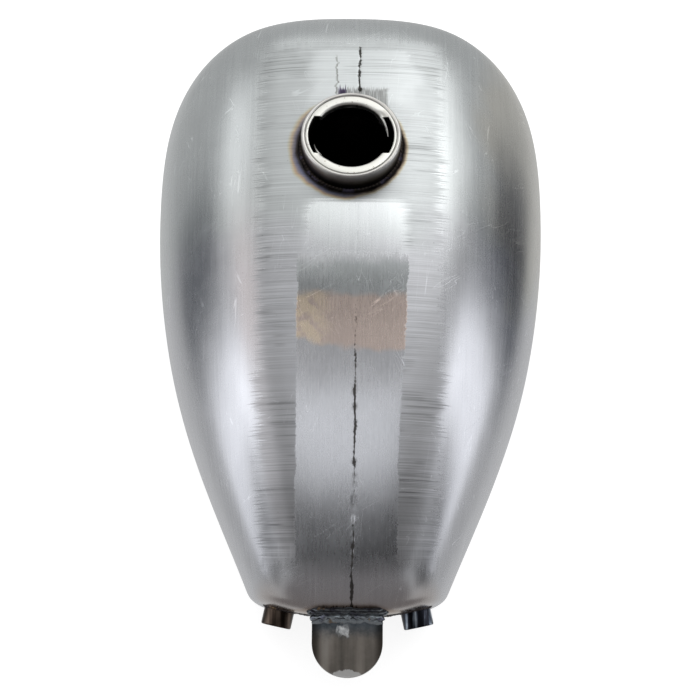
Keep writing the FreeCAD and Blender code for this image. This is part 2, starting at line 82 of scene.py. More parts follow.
# Half section from the lower lip round the shoulder to the crown.
ROUND_SECTION = ((0.80, 0.0), (0.95, 0.0), (1.05, 0.20), (1.02, 0.66), (0.66, 1.0), (0.0, 1.0))
SQUARE_SECTION = ((1.0, 0.0), (1.0, 0.15), (1.0, 0.40), (1.0, 0.98), (0.55, 1.0), (0.0, 1.0))


def station_poles(place, half_width, height, lean, squareness, bow):
    foot = FRONT_FOOT - place * HULL_RUN
    round_part = np.array(ROUND_SECTION)
    section = round_part + squareness * (np.array(SQUARE_SECTION) - round_part)
    x = half_width * section[:, 0]
    z = height * section[:, 1]
    above_lip = np.minimum(1.0, BOW_RISE * z / height)
    y = foot + math.tan(math.radians(lean)) * z + bow * x * x * above_lip
    right = np.stack([x, y, z], axis=1)
    left = right[:-1] * (-1, 1, 1)
    return np.vstack([left, right[::-1]])


def hull_poles():
    front_bow, tail_bow = -0.5 / FRONT_BOW_RADIUS, 0.5 / TAIL_BOW_RADIUS
    first, last = STATIONS[0], STATIONS[-1]
    bows = {0: front_bow, 1: front_bow / 2,
            len(STATIONS) - 2: tail_bow / 2, len(STATIONS) - 1: tail_bow}
    net = []
    for index, (wide, high, square) in enumerate(FRONT_WALL):
        bow = front_bow if index else 0.0
        net.append(station_poles(first[0], first[1] * wide, first[2] * high, first[3], square, bow))
    for index, station in enumerate(STATIONS):
        net.append(station_poles(*station, bows.get(index, 0.0)))
    for index, (wide, high, square) in enumerate(TAIL_WALL):
        bow = 0.0 if index == len(TAIL_WALL) - 1 else tail_bow
        net.append(station_poles(last[0], last[1] * wide, last[2] * high, last[3], square, bow))
    return np.array(net) * MM


def spline_basis(count, at):
    """Clamped uniform cubic basis functions: one row for each parameter."""
    knots = np.concatenate([np.zeros(3), np.linspace(0, 1, count - 2), np.ones(3)])
    at = np.clip(at, 0, 1 - 1e-9)[:, None]
    values = ((knots[:-1] <= at) & (at < knots[1:])).astype(float)
    for degree in (1, 2, 3):
        n = len(knots) - 1 - degree
        start, end = knots[:n], knots[degree + 1:degree + 1 + n]
        rise, fall = knots[degree:degree + n] - start, end - knots[1:n + 1]
        up = np.where(rise > 0, (at - start) / np.where(rise > 0, rise, 1), 0)
        down = np.where(fall > 0, (end - at) / np.where(fall > 0, fall, 1), 0)
        values = up * values[:, :n] + down * values[:, 1:n + 1]
    return values


POLES = hull_poles()


def hull_at(u, v):
    """Points of the smooth hull; u runs front to tail, v from the left lip to the right one."""
    return np.einsum("ki,kj,ijc->kc", spline_basis(POLES.shape[0], u),
                     spline_basis(POLES.shape[1], v), POLES)


def unit(vectors):
    return vectors / np.linalg.norm(vectors, axis=-1, keepdims=True)


# ---- small shapes worked into the sheet

WAVE_COUNT = 16
WAVE_LENGTHS = (26 * MM, 95 * MM)
WAVE_SLOPE = 0.0019
GROOVE_WIDTH = 0.75 * MM
GROOVE_DEPTH = 0.15 * MM
GROOVE_LINE = ((-0.170, -0.110, -0.020, 0.160), (2.2 * MM, 3.4 * MM, 3.4 * MM, 5.1 * MM))   # y, x
ABOVE_LIP = 0.06            # the groove is only on the crown, above this height


def ramped(value, low, high):
    """0 below low, 1 above high, smooth between."""
    t = np.clip((value - low) / (high - low), 0, 1)
    return t * t * (3 - 2 * t)


def waviness(points):
    """Slow, shallow dents left by forming the sheet; never outside the smooth hull."""
    draw = np.random.default_rng(11)
    total, deepest = 0.0, 0.0
    for _ in range(WAVE_COUNT):
        length = draw.uniform(*WAVE_LENGTHS)
        direction = unit(draw.normal(size=3))
        height = WAVE_SLOPE * length / (2 * math.pi)
        phase = points @ direction * 2 * math.pi / length
        total = total + height * np.sin(phase + draw.uniform(0, 6))
        deepest += height
    return 0.5 * (total - deepest)


def dashes(y, seed, length):
    """Broken on-and-off pattern along the tank, 0 to 1."""
    draw = np.random.default_rng(seed)
    total = 0.0
    for share in (1.0, 0.47, 0.23, 0.11):
        total = total + np.sin(y * 2 * math.pi / (length * share) + draw.uniform(0, 6))
    return ramped(total, -1.4, 1.0)


def seam_groove(points):
    """Undercut along the right edge of the crown weld, 0 to 1."""
    x, y, z = points.T
    centre = np.interp(y, *GROOVE_LINE)
    centre = centre + 0.25 * MM * np.sin(y * 210) + 0.15 * MM * np.sin(y * 530 + 1)
    width = GROOVE_WIDTH * (0.6 + 0.9 * dashes(y, 8, 21 * MM))
    across = np.exp(-((x - centre) / width) ** 2)
    middle = 0.4 * ramped(-y, 0.004, 0.030) + 0.6 * ramped(-y, 0.050, 0.066)
    middle = middle * (0.3 + 0.7 * ramped(y, -0.108, -0.096))
    tail = ramped(-y, 0.136, 0.142)
    front = ramped(y, 0.124, 0.130) * ramped(-y, -0.170, -0.158)
    strong = np.clip(middle + tail + 0.85 * front + 0.08, 0, 1)
    broken = 0.55 + 0.45 * dashes(y, 5, 30 * MM)
    return across * strong * broken * (z > ABOVE_LIP)


def depth_at(points):
    return waviness(points) - GROOVE_DEPTH * seam_groove(points)


def skin_at(u, v):
    """Smooth point, smooth normal, worked point and worked normal for each (u, v)."""
    step = 2e-4
    ahead = np.where(u < 0.5, step, -step)
    across = np.where(v < 0.5, step, -step)
    base, along_u, along_v = hull_at(u, v), hull_at(u + ahead, v), hull_at(u, v + across)
    slope_u = (along_u - base) / ahead[:, None]
    slope_v = (along_v - base) / across[:, None]
    normal = unit(np.cross(slope_u, slope_v))
    depth = depth_at(base)
    rise_u = (depth_at(along_u) - depth) / ahead
    rise_v = (depth_at(along_v) - depth) / across
    worked = np.cross(slope_u + normal * rise_u[:, None], slope_v + normal * rise_v[:, None])
    return base, normal, base + normal * depth[:, None], unit(worked)


# ---- openings

NECK_RADIUS = 30 * MM
NECK_BORE = 26 * MM
NECK_HEIGHT = 13.8 * MM
NECK_DEPTH = 6 * MM
OUTLET_RADIUS = 9 * MM
OUTLET_BORE = 5.7 * MM
OUTLET_LENGTH = 10.5 * MM
OUTLET_DEPTH = 4 * MM
EDGE_COVER = 0.7 * MM       # how far a fitting's wall covers the edge of its opening
NOWHERE_NEAR = 1.0          # gap given to a point beyond either end of an opening, metres
TUNNEL_HALF = 31.5 * MM
TUNNEL_HEIGHTS = ((0.2029, 60.6 * MM), (-0.167, 36.4 * MM))      # y and crown height
TUNNEL_SPRINGS = ((0.1963, 29.8 * MM), (-0.15125, 9.1 * MM))     # y and height of the sides

NECK_AXIS = np.array(MOUNTS["filler"]["axis"])
NECK_FOOT = np.array(MOUNTS["filler"]["pos_m"]) - NECK_AXIS * NECK_HEIGHT
NECK_ACROSS = (1.0, 0, 0)
NECK_FRAME = (NECK_FOOT, NECK_AXIS, NECK_ACROSS)
OUTLET_AXES = {side: np.array(MOUNTS[side + "_outlet"]["axis"]) for side, _ in SIDES}
OUTLET_FEET = {
    side: np.array(MOUNTS[side + "_outlet"]["pos_m"]) - OUTLET_AXES[side] * OUTLET_LENGTH
    for side, _ in SIDES}


def line_between(places, y):
    (y0, h0), (y1, h1) = places
    return h0 + (y - y0) * (h1 - h0) / (y1 - y0)


def tunnel_gap(points):
    """Distance outside the tunnel's inverted-U section."""
    x, y, z = points.T
    crown, spring = line_between(TUNNEL_HEIGHTS, y), line_between(TUNNEL_SPRINGS, y)
    above = np.maximum(z - spring, 0) * TUNNEL_HALF / (crown - spring)
    return np.hypot(x, above) - TUNNEL_HALF


def round_gap(points, foot, axis, radius):
    offset = points - foot
    along = offset @ axis
    radial = np.linalg.norm(offset - along[:, None] * axis, axis=1)
    return np.where(np.abs(along) < radius, radial - radius, NOWHERE_NEAR)


def opening_gap(points):
    """How far each point is outside every opening of the hull; negative inside one."""
    gaps = [tunnel_gap(points), round_gap(points, NECK_FOOT, NECK_AXIS, NECK_RADIUS - EDGE_COVER)]
    for side, _ in SIDES:
        gaps.append(round_gap(points, OUTLET_FEET[side], OUTLET_AXES[side],
                              OUTLET_RADIUS - EDGE_COVER))
    return np.min(gaps, axis=0)


# ---- mesh helpers

def linked(name, data):
    """New object in the scene."""
    item = bpy.data.objects.new(name, data)
    bpy.context.scene.collection.objects.link(item)
    return item


def make_piece(name, mesh, node):
    """Put a finished mesh in the scene as the piece that stands for a CAD node."""
    piece = linked(name, mesh)
    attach(piece, "root")
    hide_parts(node)


def shaded(mesh, material, sharp_angle=40):
    """The mesh in one material, smooth apart from edges sharper than an angle in degrees."""
    mesh.polygons.foreach_set("use_smooth", [True] * len(mesh.polygons))
    mesh.set_sharp_from_angle(angle=math.radians(sharp_angle))
    mesh.materials.clear()
    mesh.materials.append(material)
    return mesh


def smooth_mesh(name, vertices, faces, material, sharp_angle=40):
    mesh = bpy.data.meshes.new(name)
    mesh.from_pydata([tuple(p) for p in vertices], [], [tuple(f) for f in faces])
    mesh.validate()
    return shaded(mesh, material, sharp_angle)


def evaluated(name, data, **bevel):
    """Mesh of a curve, or of a mesh after a bevel with the given settings."""
    holder = linked(name, data)
    if bevel:
        modifier = holder.modifiers.new("bevel", "BEVEL")
        for key, value in bevel.items():
            setattr(modifier, key, value)
    graph = bpy.context.evaluated_depsgraph_get()
    mesh = bpy.data.meshes.new_from_object(holder.evaluated_get(graph))
    bpy.data.objects.remove(holder)
    return mesh


def joined(name, meshes):
    """One mesh out of several that share their material."""
    objects = [linked(name, mesh) for mesh in meshes]
    with bpy.context.temp_override(active_object=objects[0], object=objects[0],
                                   selected_objects=objects, selected_editable_objects=objects):
        bpy.ops.object.join()
    mesh = objects[0].data.copy()
    mesh.name = name
    bpy.data.objects.remove(objects[0])
    return mesh


def grid_faces(rows, columns, wrap_rows=False, wrap_columns=False, flip=False):
    """Quads of a rows x columns grid of vertices."""
    faces = []
    for i in range(rows if wrap_rows else rows - 1):
        for j in range(columns if wrap_columns else columns - 1):
            k, m = (i + 1) % rows, (j + 1) % columns
            face = (i * columns + j, i * columns + m, k * columns + m, k * columns + j)
            faces.append(face[::-1] if flip else face)
    return faces


def end_caps(rows, columns):
    """Faces that close the first and the last row of a grid whose rows are closed sections."""
    first = tuple(range(columns))
    return [first, tuple((rows - 1) * columns + i for i in first)[::-1]]


def full_turn(steps):
    return np.linspace(0, 2 * math.pi, steps, endpoint=False)


def arc(centre_r, centre_z, radius, start, end, steps=6):
    """Points of an arc in a turned section; angles in degrees from outwards to upwards."""
    angles = np.radians(np.linspace(start, end, steps + 1))
    return [(centre_r + radius * math.cos(a), centre_z + radius * math.sin(a)) for a in angles]


def outwards(axis, across=None):
    """Function from an angle to the unit vector at that angle round an axis."""
    side = unit(np.cross((0.0, 0.0, 1.0), axis)) if across is None else np.array(across)
    up = np.cross(axis, side)
    return lambda angle: side * math.cos(angle) + up * math.sin(angle)


def turned(profile, foot, axis, across=None, steps=144):
    """Vertices and faces of a closed (radius, height) section turned round an axis."""
    out = outwards(axis, across)
    vertices = [foot + out(angle) * radius + axis * height
                for angle in full_turn(steps) for radius, height in profile]
    return vertices, grid_faces(steps, len(profile), True, True, flip=True)


# ---- the skins

ROWS = 236
# Columns beside the crown line, millimetres from it: fine where the seam's groove is.
FINE_X = (0.8, 1.5, 1.9, 2.2, 2.6, 3.0, 3.3, 3.6, 3.9, 4.2, 4.6, 5.0, 5.4, 5.8, 6.5, 7.8, 9.6, 12.0)
SEAM_EDGE = 3.0             # the column where the seam's piece ends
SIDE_COLUMNS = 66
COLUMN_HALVINGS = 30        # steps of the searches by halving
CUT_HALVINGS = 26


def column_at(u, x):
    """Parameter v of the right half where the hull is x from the centre plane."""
    low, high = np.full_like(u, 0.5), np.full_like(u, 0.75)
    for _ in range(COLUMN_HALVINGS):
        middle = (low + high) / 2
        inside = hull_at(u, middle)[:, 0] < x
        low, high = np.where(inside, middle, low), np.where(inside, high, middle)
    return low


def skin_grid():
    """(u, v) of the whole grid; the columns near the crown are straight lines."""
    u = np.linspace(0, 1, ROWS)
    right = [column_at(u, x * MM) for x in FINE_X]
    start = right[-1]
    right += [start + (1 - start) * k / SIDE_COLUMNS for k in range(1, SIDE_COLUMNS + 1)]
    right = np.stack(right, axis=1)
    v = np.hstack([1 - right[:, ::-1], np.full((ROWS, 1), 0.5), right])
    return np.repeat(u[:, None], v.shape[1], axis=1), v


def surface_distances(points):
    """Distance over the sheet from the crown line, and along the crown, at each grid point;
    the second is y at the neck."""
    middle = points.shape[1] // 2
    steps = np.linalg.norm(np.diff(points, axis=1), axis=2)
    across = np.concatenate([np.zeros((len(points), 1)), np.cumsum(steps, axis=1)], axis=1)
    across -= across[:, middle:middle + 1]
    crown = points[:, middle]
    run = np.concatenate([[0], np.cumsum(np.linalg.norm(np.diff(crown, axis=0), axis=1))])
    top = slice(ROWS // 8, -ROWS // 8)      # where y falls steadily along the crown
    run_at_neck = np.interp(NECK_FOOT[1], crown[::-1, 1][top], run[::-1][top])
    along = run_at_neck - run + NECK_FOOT[1]
    return across, np.repeat(along[:, None], points.shape[1], axis=1)


def at_cut(values, ends, share):
    return values[ends[:, 0]] * (1 - share) + values[ends[:, 1]] * share


def with_cut(values, ends, share):
    """Values at the grid points, followed by the values at the cut points."""
    return np.concatenate([values, at_cut(values, ends, share)])


def cut_polygons(u, v, quads):
    """Cut the quads at the openings: each cut edge's kept and lost end, the share of the way
    that its cut lies at, and the kept polygons, each with the number of its quad."""
    keep = opening_gap(hull_at(u, v)) > 0
    painted_shade_sides = [list(zip(quad, np.roll(quad, -1))) for quad in quads]
    polygons = [(tuple(quad), k) for k, quad in enumerate(quads) if keep[quad].all()]
    mixed = [k for k, quad in enumerate(quads) if keep[quad].any() and not keep[quad].all()]
    crossings = {}
    for k in mixed:
        for a, b in painted_shade_sides[k]:
            if keep[a] != keep[b]:
                crossings.setdefault((min(a, b), max(a, b)), len(u) + len(crossings))
    ends = np.array([(a, b) if keep[a] else (b, a) for a, b in crossings])
    near, far = np.zeros(len(ends)), np.ones(len(ends))
    for _ in range(CUT_HALVINGS):
        share = (near + far) / 2
        gap = opening_gap(hull_at(at_cut(u, ends, share), at_cut(v, ends, share)))
        near, far = np.where(gap > 0, share, near), np.where(gap > 0, far, share)
    for k in mixed:
        ring = []
        for a, b in painted_shade_sides[k]:
            if keep[a]:
                ring.append(a)
            if keep[a] != keep[b]:
                ring.append(crossings[(min(a, b), max(a, b))])
        polygons.append((tuple(ring), k))
    return ends, near, polygons


def skin_piece(name, chosen, data, materials, node):
    """Sheet of real thickness from a part of the cut grid: outside, inside and edges."""
    used = sorted({index for ring in chosen for index in ring})
    renumber = {old: new for new, old in enumerate(used)}
    rings = [[renumber[i] for i in ring] for ring in chosen]
    count = len(used)
    directed = {(a, b) for ring in rings for a, b in zip(ring, ring[1:] + ring[:1])}
    edges = [(a, b) for a, b in sorted(directed) if (b, a) not in directed]
    vertices = np.vstack([data["worked"][used], data["inner"][used]])
    faces = [tuple(ring) for ring in rings]
    faces += [tuple(i + count for i in ring[::-1]) for ring in rings]
    faces += [(b, a, a + count, b + count) for a, b in edges]
    mesh = bpy.data.meshes.new(name)
    mesh.from_pydata(vertices.tolist(), [], faces)
    mesh.polygons.foreach_set("use_smooth", [True] * len(faces))
    mesh.polygons.foreach_set("material_index", [int(len(rings) <= k < 2 * len(rings))
                                                 for k in range(len(faces))])
    for material in materials:
        mesh.materials.append(material)
    corner = np.zeros(len(mesh.loops), int)
    mesh.loops.foreach_get("vertex_index", corner)
    normals = np.vstack([data["normal"][used], -data["smooth_normal"][used]])[corner]
    first = sum(len(face) for face in faces[:2 * len(rings)])
    for face in faces[2 * len(rings):]:
        p = vertices[list(face)]
        flat = np.cross(p[1] - p[0], p[3] - p[0])
        normals[first:first + 4] = flat / (np.linalg.norm(flat) + 1e-12)
        first += 4
    mesh.normals_split_custom_set(normals.tolist())
    layer = mesh.uv_layers.new(name="sheet")
    sheet = np.stack([data["across"][used], data["along"][used]], axis=1)
    layer.data.foreach_set("uv", np.vstack([sheet, sheet])[corner].ravel())
    cavity = mesh.attributes.new("cavity", "FLOAT", "POINT")
    cavity.data.foreach_set("value", np.concatenate([data["cavity"][used], np.zeros(count)]))
    make_piece(name, mesh, node)


def make_skins(steel, weld_steel, inside):
    """Left shell, crown weld and right shell, with every opening cut. Returns the hull's tree."""
    u_grid, v_grid = skin_grid()
    rows, columns = u_grid.shape
    u, v = u_grid.ravel(), v_grid.ravel()
    quads = np.array(grid_faces(rows, columns, flip=True))
    ends, share, polygons = cut_polygons(u, v, quads)
    grid = hull_at(u, v)
    across, along = surface_distances(grid.reshape(rows, columns, 3))
    data = {"across": with_cut(across.ravel(), ends, share),
            "along": with_cut(along.ravel(), ends, share)}
    u, v = with_cut(u, ends, share), with_cut(v, ends, share)
    base, data["smooth_normal"], data["worked"], data["normal"] = skin_at(u, v)
    data["inner"] = base - data["smooth_normal"] * SHEET
    data["cavity"] = seam_groove(base)
    middle = columns // 2
    seam = FINE_X.index(SEAM_EDGE) + 1
    left_end, right_start = middle - seam, middle + seam
    parts = (("left_skin", 0, left_end, "left_shell", "raw_steel", steel),
             ("seam_skin", left_end, right_start, "top_seam_weld", "ground_weld", weld_steel),
             ("right_skin", right_start, columns, "right_shell", "raw_steel", steel))
    for name, first, last, node, slot, outside in parts:
        chosen = [ring for ring, k in polygons if first <= k % (columns - 1) < last]
        skin_piece(name, chosen, data, (outside, inside), node)
    return BVHTree.FromPolygons(grid.tolist(), quads.tolist())


# ---- weld beads

REACH = 0.4                 # how far outside the tank a straight line towards it starts
FORWARD = np.array([0.0, 1.0, 0.0])
BEAD_SINK = 0.35            # share of a bead's height that is under the sheet
FULL_RIPPLE = 0.26          # share of a bead's height in real steps; a smoother bead has less
WANDERS = 7                 # waves that a bead's path and width are made of
OPEN_LENGTH = 0.20          # length of open path that has the full number of wanders
STAND_OFF = 0.7 * MM        # how far the mouth welds run outside the tunnel's section


def path_on_hull(tree, origins, direction):
    """Where parallel lines first meet the hull, and the outward normals there."""
    hits = [tree.ray_cast(Vector(origin), Vector(direction)) for origin in origins]
    points, normals = (np.array([hit[k] for hit in hits]) for k in (0, 1))
    inward = normals @ direction > 0
    return points, np.where(inward[:, None], -normals, normals)


def resampled(points, normals, spacing, closed):
    """Even spacing along a path, with its normals and distances."""
    if closed:
        points, normals = np.vstack([points, points[:1]]), np.vstack([normals, normals[:1]])
    distance = np.concatenate([[0], np.cumsum(np.linalg.norm(np.diff(points, axis=0), axis=1))])
    count = max(8, int(distance[-1] / spacing))
    at = np.linspace(0, distance[-1], count, endpoint=not closed)
    place, normal = (np.stack([np.interp(at, distance, values[:, k]) for k in range(3)], axis=1)
                     for values in (points, normals))
    return place, unit(normal), at


def bead_mesh(name, path, half_width, height, pitch, material, seed, closed=True,
              ripple=FULL_RIPPLE, wander=0.12):
    """Weld bead along a path on the hull; its half width, height and pitch in millimetres."""
    half_width, height, pitch = half_width * MM, height * MM, pitch * MM
    place, normal, at = resampled(*path, pitch / 7, closed)
    rows = len(at)
    tangent = np.roll(place, -1, axis=0) - np.roll(place, 1, axis=0)
    if not closed:
        tangent[0], tangent[-1] = place[1] - place[0], place[-1] - place[-2]
    side = unit(np.cross(normal, unit(tangent)))
    draw = np.random.default_rng(seed)
    total = at[-1] + (at[1] - at[0])
    turn = at / total * 2 * math.pi
    sway, swell = 0.0, 0.0
    for _ in range(WANDERS):
        turns = draw.integers(3, 26) if closed else draw.uniform(1.0, 26.0) * total / OPEN_LENGTH
        sway = sway + np.sin(turn * turns + draw.uniform(0, 6)) / 4
        swell = swell + np.sin(turn * turns * 1.7 + draw.uniform(0, 6)) / 4
    ripples = round(total / pitch)
    stepped = min(1.0, ripple / FULL_RIPPLE)
    section = np.linspace(0, math.pi, 11)
    vertices, crest = [], []
    for k in range(rows):
        size = 1 + wander * swell[k]
        end = 1.0 if closed else float(np.clip(min(k, rows - 1 - k) / 5, 0.05, 1) ** 0.5)
        for angle in section:
            across = math.cos(angle)
            phase = at[k] / total * ripples + 0.42 * across * across
            step = (phase % 1.0) ** 1.6
            lift = (1 - ripple + ripple * step) * math.sin(angle) * height * size * end
            offset = (across * size + 0.5 * wander * sway[k]) * half_width * end
            vertices.append(place[k] + side[k] * offset + normal[k] * (lift - BEAD_SINK * height))
            crest.append(math.sin(angle) ** 3 * (1 - stepped + stepped * step))
    width = len(section)
    faces = grid_faces(rows, width, wrap_rows=closed)
    starts = [(i * width, (i + 1) % rows * width) for i in range(rows if closed else rows - 1)]
    faces += [(a, b, b + width - 1, a + width - 1) for a, b in starts]
    if not closed:
        faces += end_caps(rows, width)
    mesh = smooth_mesh(name, vertices, faces, material, 70)
    layer = mesh.attributes.new("crest", "FLOAT", "POINT")
    layer.data.foreach_set("value", crest)
    return mesh


def make_bead(name, node, *sizes, **manner):
    """One bead as a piece of its own; sizes and manner are bead_mesh's."""
    make_piece(name, bead_mesh(name, *sizes, **manner), node)


def circle_on_hull(tree, foot, axis, radius, across=None):
    out = outwards(axis, across)
    origins = [foot + out(angle) * radius + axis * 40 * MM for angle in full_turn(180)]
    return path_on_hull(tree, origins, -axis)


def make_round_beads(tree, neck_material, outlet_material):
    path = circle_on_hull(tree, NECK_FOOT, NECK_AXIS, NECK_RADIUS, NECK_ACROSS)
    make_bead("neck_bead", "filler_neck_weld", path, 2.2, 1.8, 2.2, neck_material, 3, ripple=0.16)
    for seed, (side, _) in enumerate(SIDES, 20):
        path = circle_on_hull(tree, OUTLET_FEET[side], OUTLET_AXES[side], OUTLET_RADIUS)
        make_bead(side + "_outlet_bead", side + "_outlet_weld", path, 1.5, 1.6, 1.7,
                  outlet_material, seed)


def arch_path(tree, wall_y, direction):
    """Path of a mouth weld: the tunnel's section, carried onto an end wall."""
    crown, spring = line_between(TUNNEL_HEIGHTS, wall_y), line_between(TUNNEL_SPRINGS, wall_y)
    half, rise = TUNNEL_HALF + STAND_OFF, crown - spring + STAND_OFF
    start = np.stack([np.full(12, half), np.linspace(2.2 * MM, spring, 12, endpoint=False)], axis=1)
    angles = np.linspace(0, math.pi, 60)
    top = np.stack([half * np.cos(angles), spring + rise * np.sin(angles)], axis=1)
    outline = np.vstack([start, top, start[::-1] * (-1, 1)])
    origins = [np.array([x, 0, z]) - direction * REACH for x, z in outline]
    return path_on_hull(tree, origins, direction)


def make_mouth_beads(tree, material):
    for name, wall_y, direction, seed in (("front", 0.19, -FORWARD, 32),
                                          ("rear", -0.16, FORWARD, 31)):
        make_bead(name + "_mouth_bead", name + "_mouth_weld", arch_path(tree, wall_y, direction),
                  2.4, 1.9, 2.6, material, seed, closed=False)


# ---- fittings

COLLAR_LIP = 1.25 * MM
COLLAR_EASE = 0.1 * MM      # how far the rounded rim stays under the CAD collar's top
RING_HOLE = 21.9 * MM
RING_EDGE = 27.4 * MM
RING_SHEET = 1.3 * MM
RING_TOP = NECK_HEIGHT - 0.5 * MM
RING_SKIRT = 5 * MM
RING_ROLL = 1.7 * MM
NOTCH_HALF = 13 * MM
NOTCH_RADIUS = 25.7 * MM
RAMP_DROP = 3.0 * MM
RAMP_BEND = 1.1 * MM
TAIL_SWEEP = math.radians(31)


def make_collar(material):
    """Turned collar with a full rounded rim and a step that the ring sits in."""
    top = NECK_HEIGHT - COLLAR_EASE
    step = RING_TOP - RING_SHEET
    profile = [(NECK_BORE, -NECK_DEPTH), (NECK_RADIUS, -NECK_DEPTH)]
    profile += [(NECK_RADIUS, height)
                for height in np.linspace(0, top - COLLAR_LIP, 8, endpoint=False)]
    profile += arc(NECK_RADIUS - COLLAR_LIP, top - COLLAR_LIP, COLLAR_LIP, 0, 180, 16)
    profile += [(NECK_RADIUS - 2 * COLLAR_LIP, step), (NECK_BORE, step)]
    mesh = smooth_mesh("neck_collar", *turned(profile, *NECK_FRAME, 180), material)
    make_piece("neck_collar", mesh, "filler_neck")


def ring_section(drop):
    """Closed section of the pressed ring: flange, rolled inner edge and skirt."""
    foot = RING_TOP - RING_SKIRT - drop
    wall = RING_HOLE + RING_SHEET
    ease = 0.4 * MM
    section = arc(RING_EDGE - 0.5 * MM, RING_TOP - 0.5 * MM, 0.5 * MM, 0, 90, 4)
    section += arc(RING_HOLE + RING_ROLL, RING_TOP - RING_ROLL, RING_ROLL, 90, 180, 8)
    section += [(RING_HOLE, foot + ease), (RING_HOLE + ease, foot)]
    section += [(wall - ease, foot), (wall, foot + ease)]
    section += arc(RING_HOLE + RING_ROLL, RING_TOP - RING_ROLL, RING_ROLL - RING_SHEET, 180, 90, 4)
    section += [(RING_EDGE, RING_TOP - RING_SHEET)]
    return section


def ring_sector(turn):
    """Half of the ring between the notches, bent down into a cam ramp at one end."""
    steps = 60
    out = outwards(NECK_AXIS, NECK_ACROSS)
    vertices = []
    for share in (k / steps for k in range(steps + 1)):
        ramp = float(ramped(np.array(share), 0.16, 0.0))
        for radius, height in ring_section(RAMP_DROP * ramp):
            start = math.asin(NOTCH_HALF / radius)
            angle = start + share * (math.pi - 2 * start) + turn
            flange = float(ramped(np.array(radius), NOTCH_RADIUS, RING_HOLE))
            bend = RAMP_BEND * ramp * flange
            vertices.append(NECK_FOOT + out(angle) * radius + NECK_AXIS * (height - bend))
    width = len(ring_section(0))
    faces = grid_faces(steps + 1, width, wrap_columns=True, flip=True)
    return vertices, faces + end_caps(steps + 1, width)


def ring_tail(turn):
    """Cam tail: the skirt runs on past the flange's end, sinking and narrowing to a point."""
    steps = 24
    out = outwards(NECK_AXIS, NECK_ACROSS)
    first = math.asin(NOTCH_HALF / RING_HOLE) + turn + math.radians(2)
    top, foot = RING_TOP - 1.6 * MM, RING_TOP - RING_SKIRT - 2 * MM
    vertices = []
    for share in (k / steps for k in range(steps + 1)):
        crest = top - (top - foot - 0.6 * MM) * share ** 1.5
        inner, outer = RING_HOLE, RING_HOLE + RING_SHEET * (1 - 0.5 * share)
        for radius, height in ((inner, crest - 0.3 * MM), (inner + 0.3 * MM, crest),
                               (outer, crest), (outer, foot), (inner, foot)):
            vertices.append(NECK_FOOT + out(first - share * TAIL_SWEEP) * radius
                            + NECK_AXIS * height)
    faces = grid_faces(steps + 1, 5, wrap_columns=True)
    return vertices, faces + [cap[::-1] for cap in end_caps(steps + 1, 5)]


def make_ring(material):
    """Bayonet ring: two sectors and the thin band that joins them past the notches."""
    play, ease = 0.05 * MM, 0.3 * MM
    top, outer = RING_TOP - play, RING_EDGE - play
    band = [(NOTCH_RADIUS, top - RING_SHEET), (outer, top - RING_SHEET), (outer, top - ease),
            (outer - ease, top), (NOTCH_RADIUS + ease, top), (NOTCH_RADIUS, top - ease)]
    parts = [turned(band, *NECK_FRAME, 180)]
    parts += [shape(turn) for turn in (0, math.pi) for shape in (ring_sector, ring_tail)]
    meshes = [smooth_mesh("ring", *part, material, 50) for part in parts]
    make_piece("bayonet_pressing", joined("bayonet_pressing", meshes), "bayonet_ring")


THREAD_DEPTH = 0.55 * MM
THREAD_PITCH = 1.41 * MM
BUNG_EDGE = 1.0 * MM
BORE_CHAMFER = 0.9 * MM


def make_bungs(material):
    """Turned bungs with a cut thread in the bore."""
    steps = 96
    outside = [(OUTLET_RADIUS, -OUTLET_DEPTH), (OUTLET_RADIUS, 0),
               (OUTLET_RADIUS, OUTLET_LENGTH - BUNG_EDGE)]
    outside += arc(OUTLET_RADIUS - BUNG_EDGE, OUTLET_LENGTH - BUNG_EDGE, BUNG_EDGE, 15, 90, 6)
    heights = np.linspace(OUTLET_LENGTH, -OUTLET_DEPTH, 84)
    for side, _ in SIDES:
        foot, axis = OUTLET_FEET[side], OUTLET_AXES[side]
        out = outwards(axis)
        vertices = []
        for angle in full_turn(steps):
            section = list(outside)
            for height in heights:
                phase = (height / THREAD_PITCH + angle / (2 * math.pi)) % 1.0
                cut = THREAD_DEPTH * (1 - abs(2 * phase - 1))
                flare = max(0.0, BORE_CHAMFER - (OUTLET_LENGTH - height))
                section.append((OUTLET_BORE + max(cut, flare + 0.1 * MM), height))
            vertices += [foot + out(angle) * r + axis * h for r, h in section]
        faces = grid_faces(steps, len(section), True, True, flip=True)
        mesh = smooth_mesh(side + "_bung", vertices, faces, material, 50)
        make_piece(side + "_bung", mesh, side + "_fuel_outlet")


# ---- rear tongue

TONGUE_HALF = 20.75 * MM
TONGUE_REACH = 37 * MM
TONGUE_SHEET = 3 * MM
TONGUE_CROWN = 130 * MM
TONGUE_SLOPE = math.radians(16)
TONGUE_ROOT = np.array([0.0, -0.171852, 0.066])
TONGUE_ALONG = np.array([0.0, -math.cos(TONGUE_SLOPE), -math.sin(TONGUE_SLOPE)])
TONGUE_UP = np.array([0.0, -math.sin(TONGUE_SLOPE), math.cos(TONGUE_SLOPE)])
# Weld passes: height on the wall or distance out along the tongue, half width, height,
# share of the tongue's width that it spans, and seed; millimetres.
WALL_PASSES = ((73.4, 1.9, 1.3, 0.96, 51), (70.6, 2.0, 1.9, 1.06, 52), (67.8, 2.1, 2.6, 1.12, 54),
               (61.2, 2.2, 2.0, 1.05, 53))
TOE_PASSES = ((1.6, 2.6, 2.2, 1.0, 57), (4.0, 2.2, 1.0, 0.95, 58))


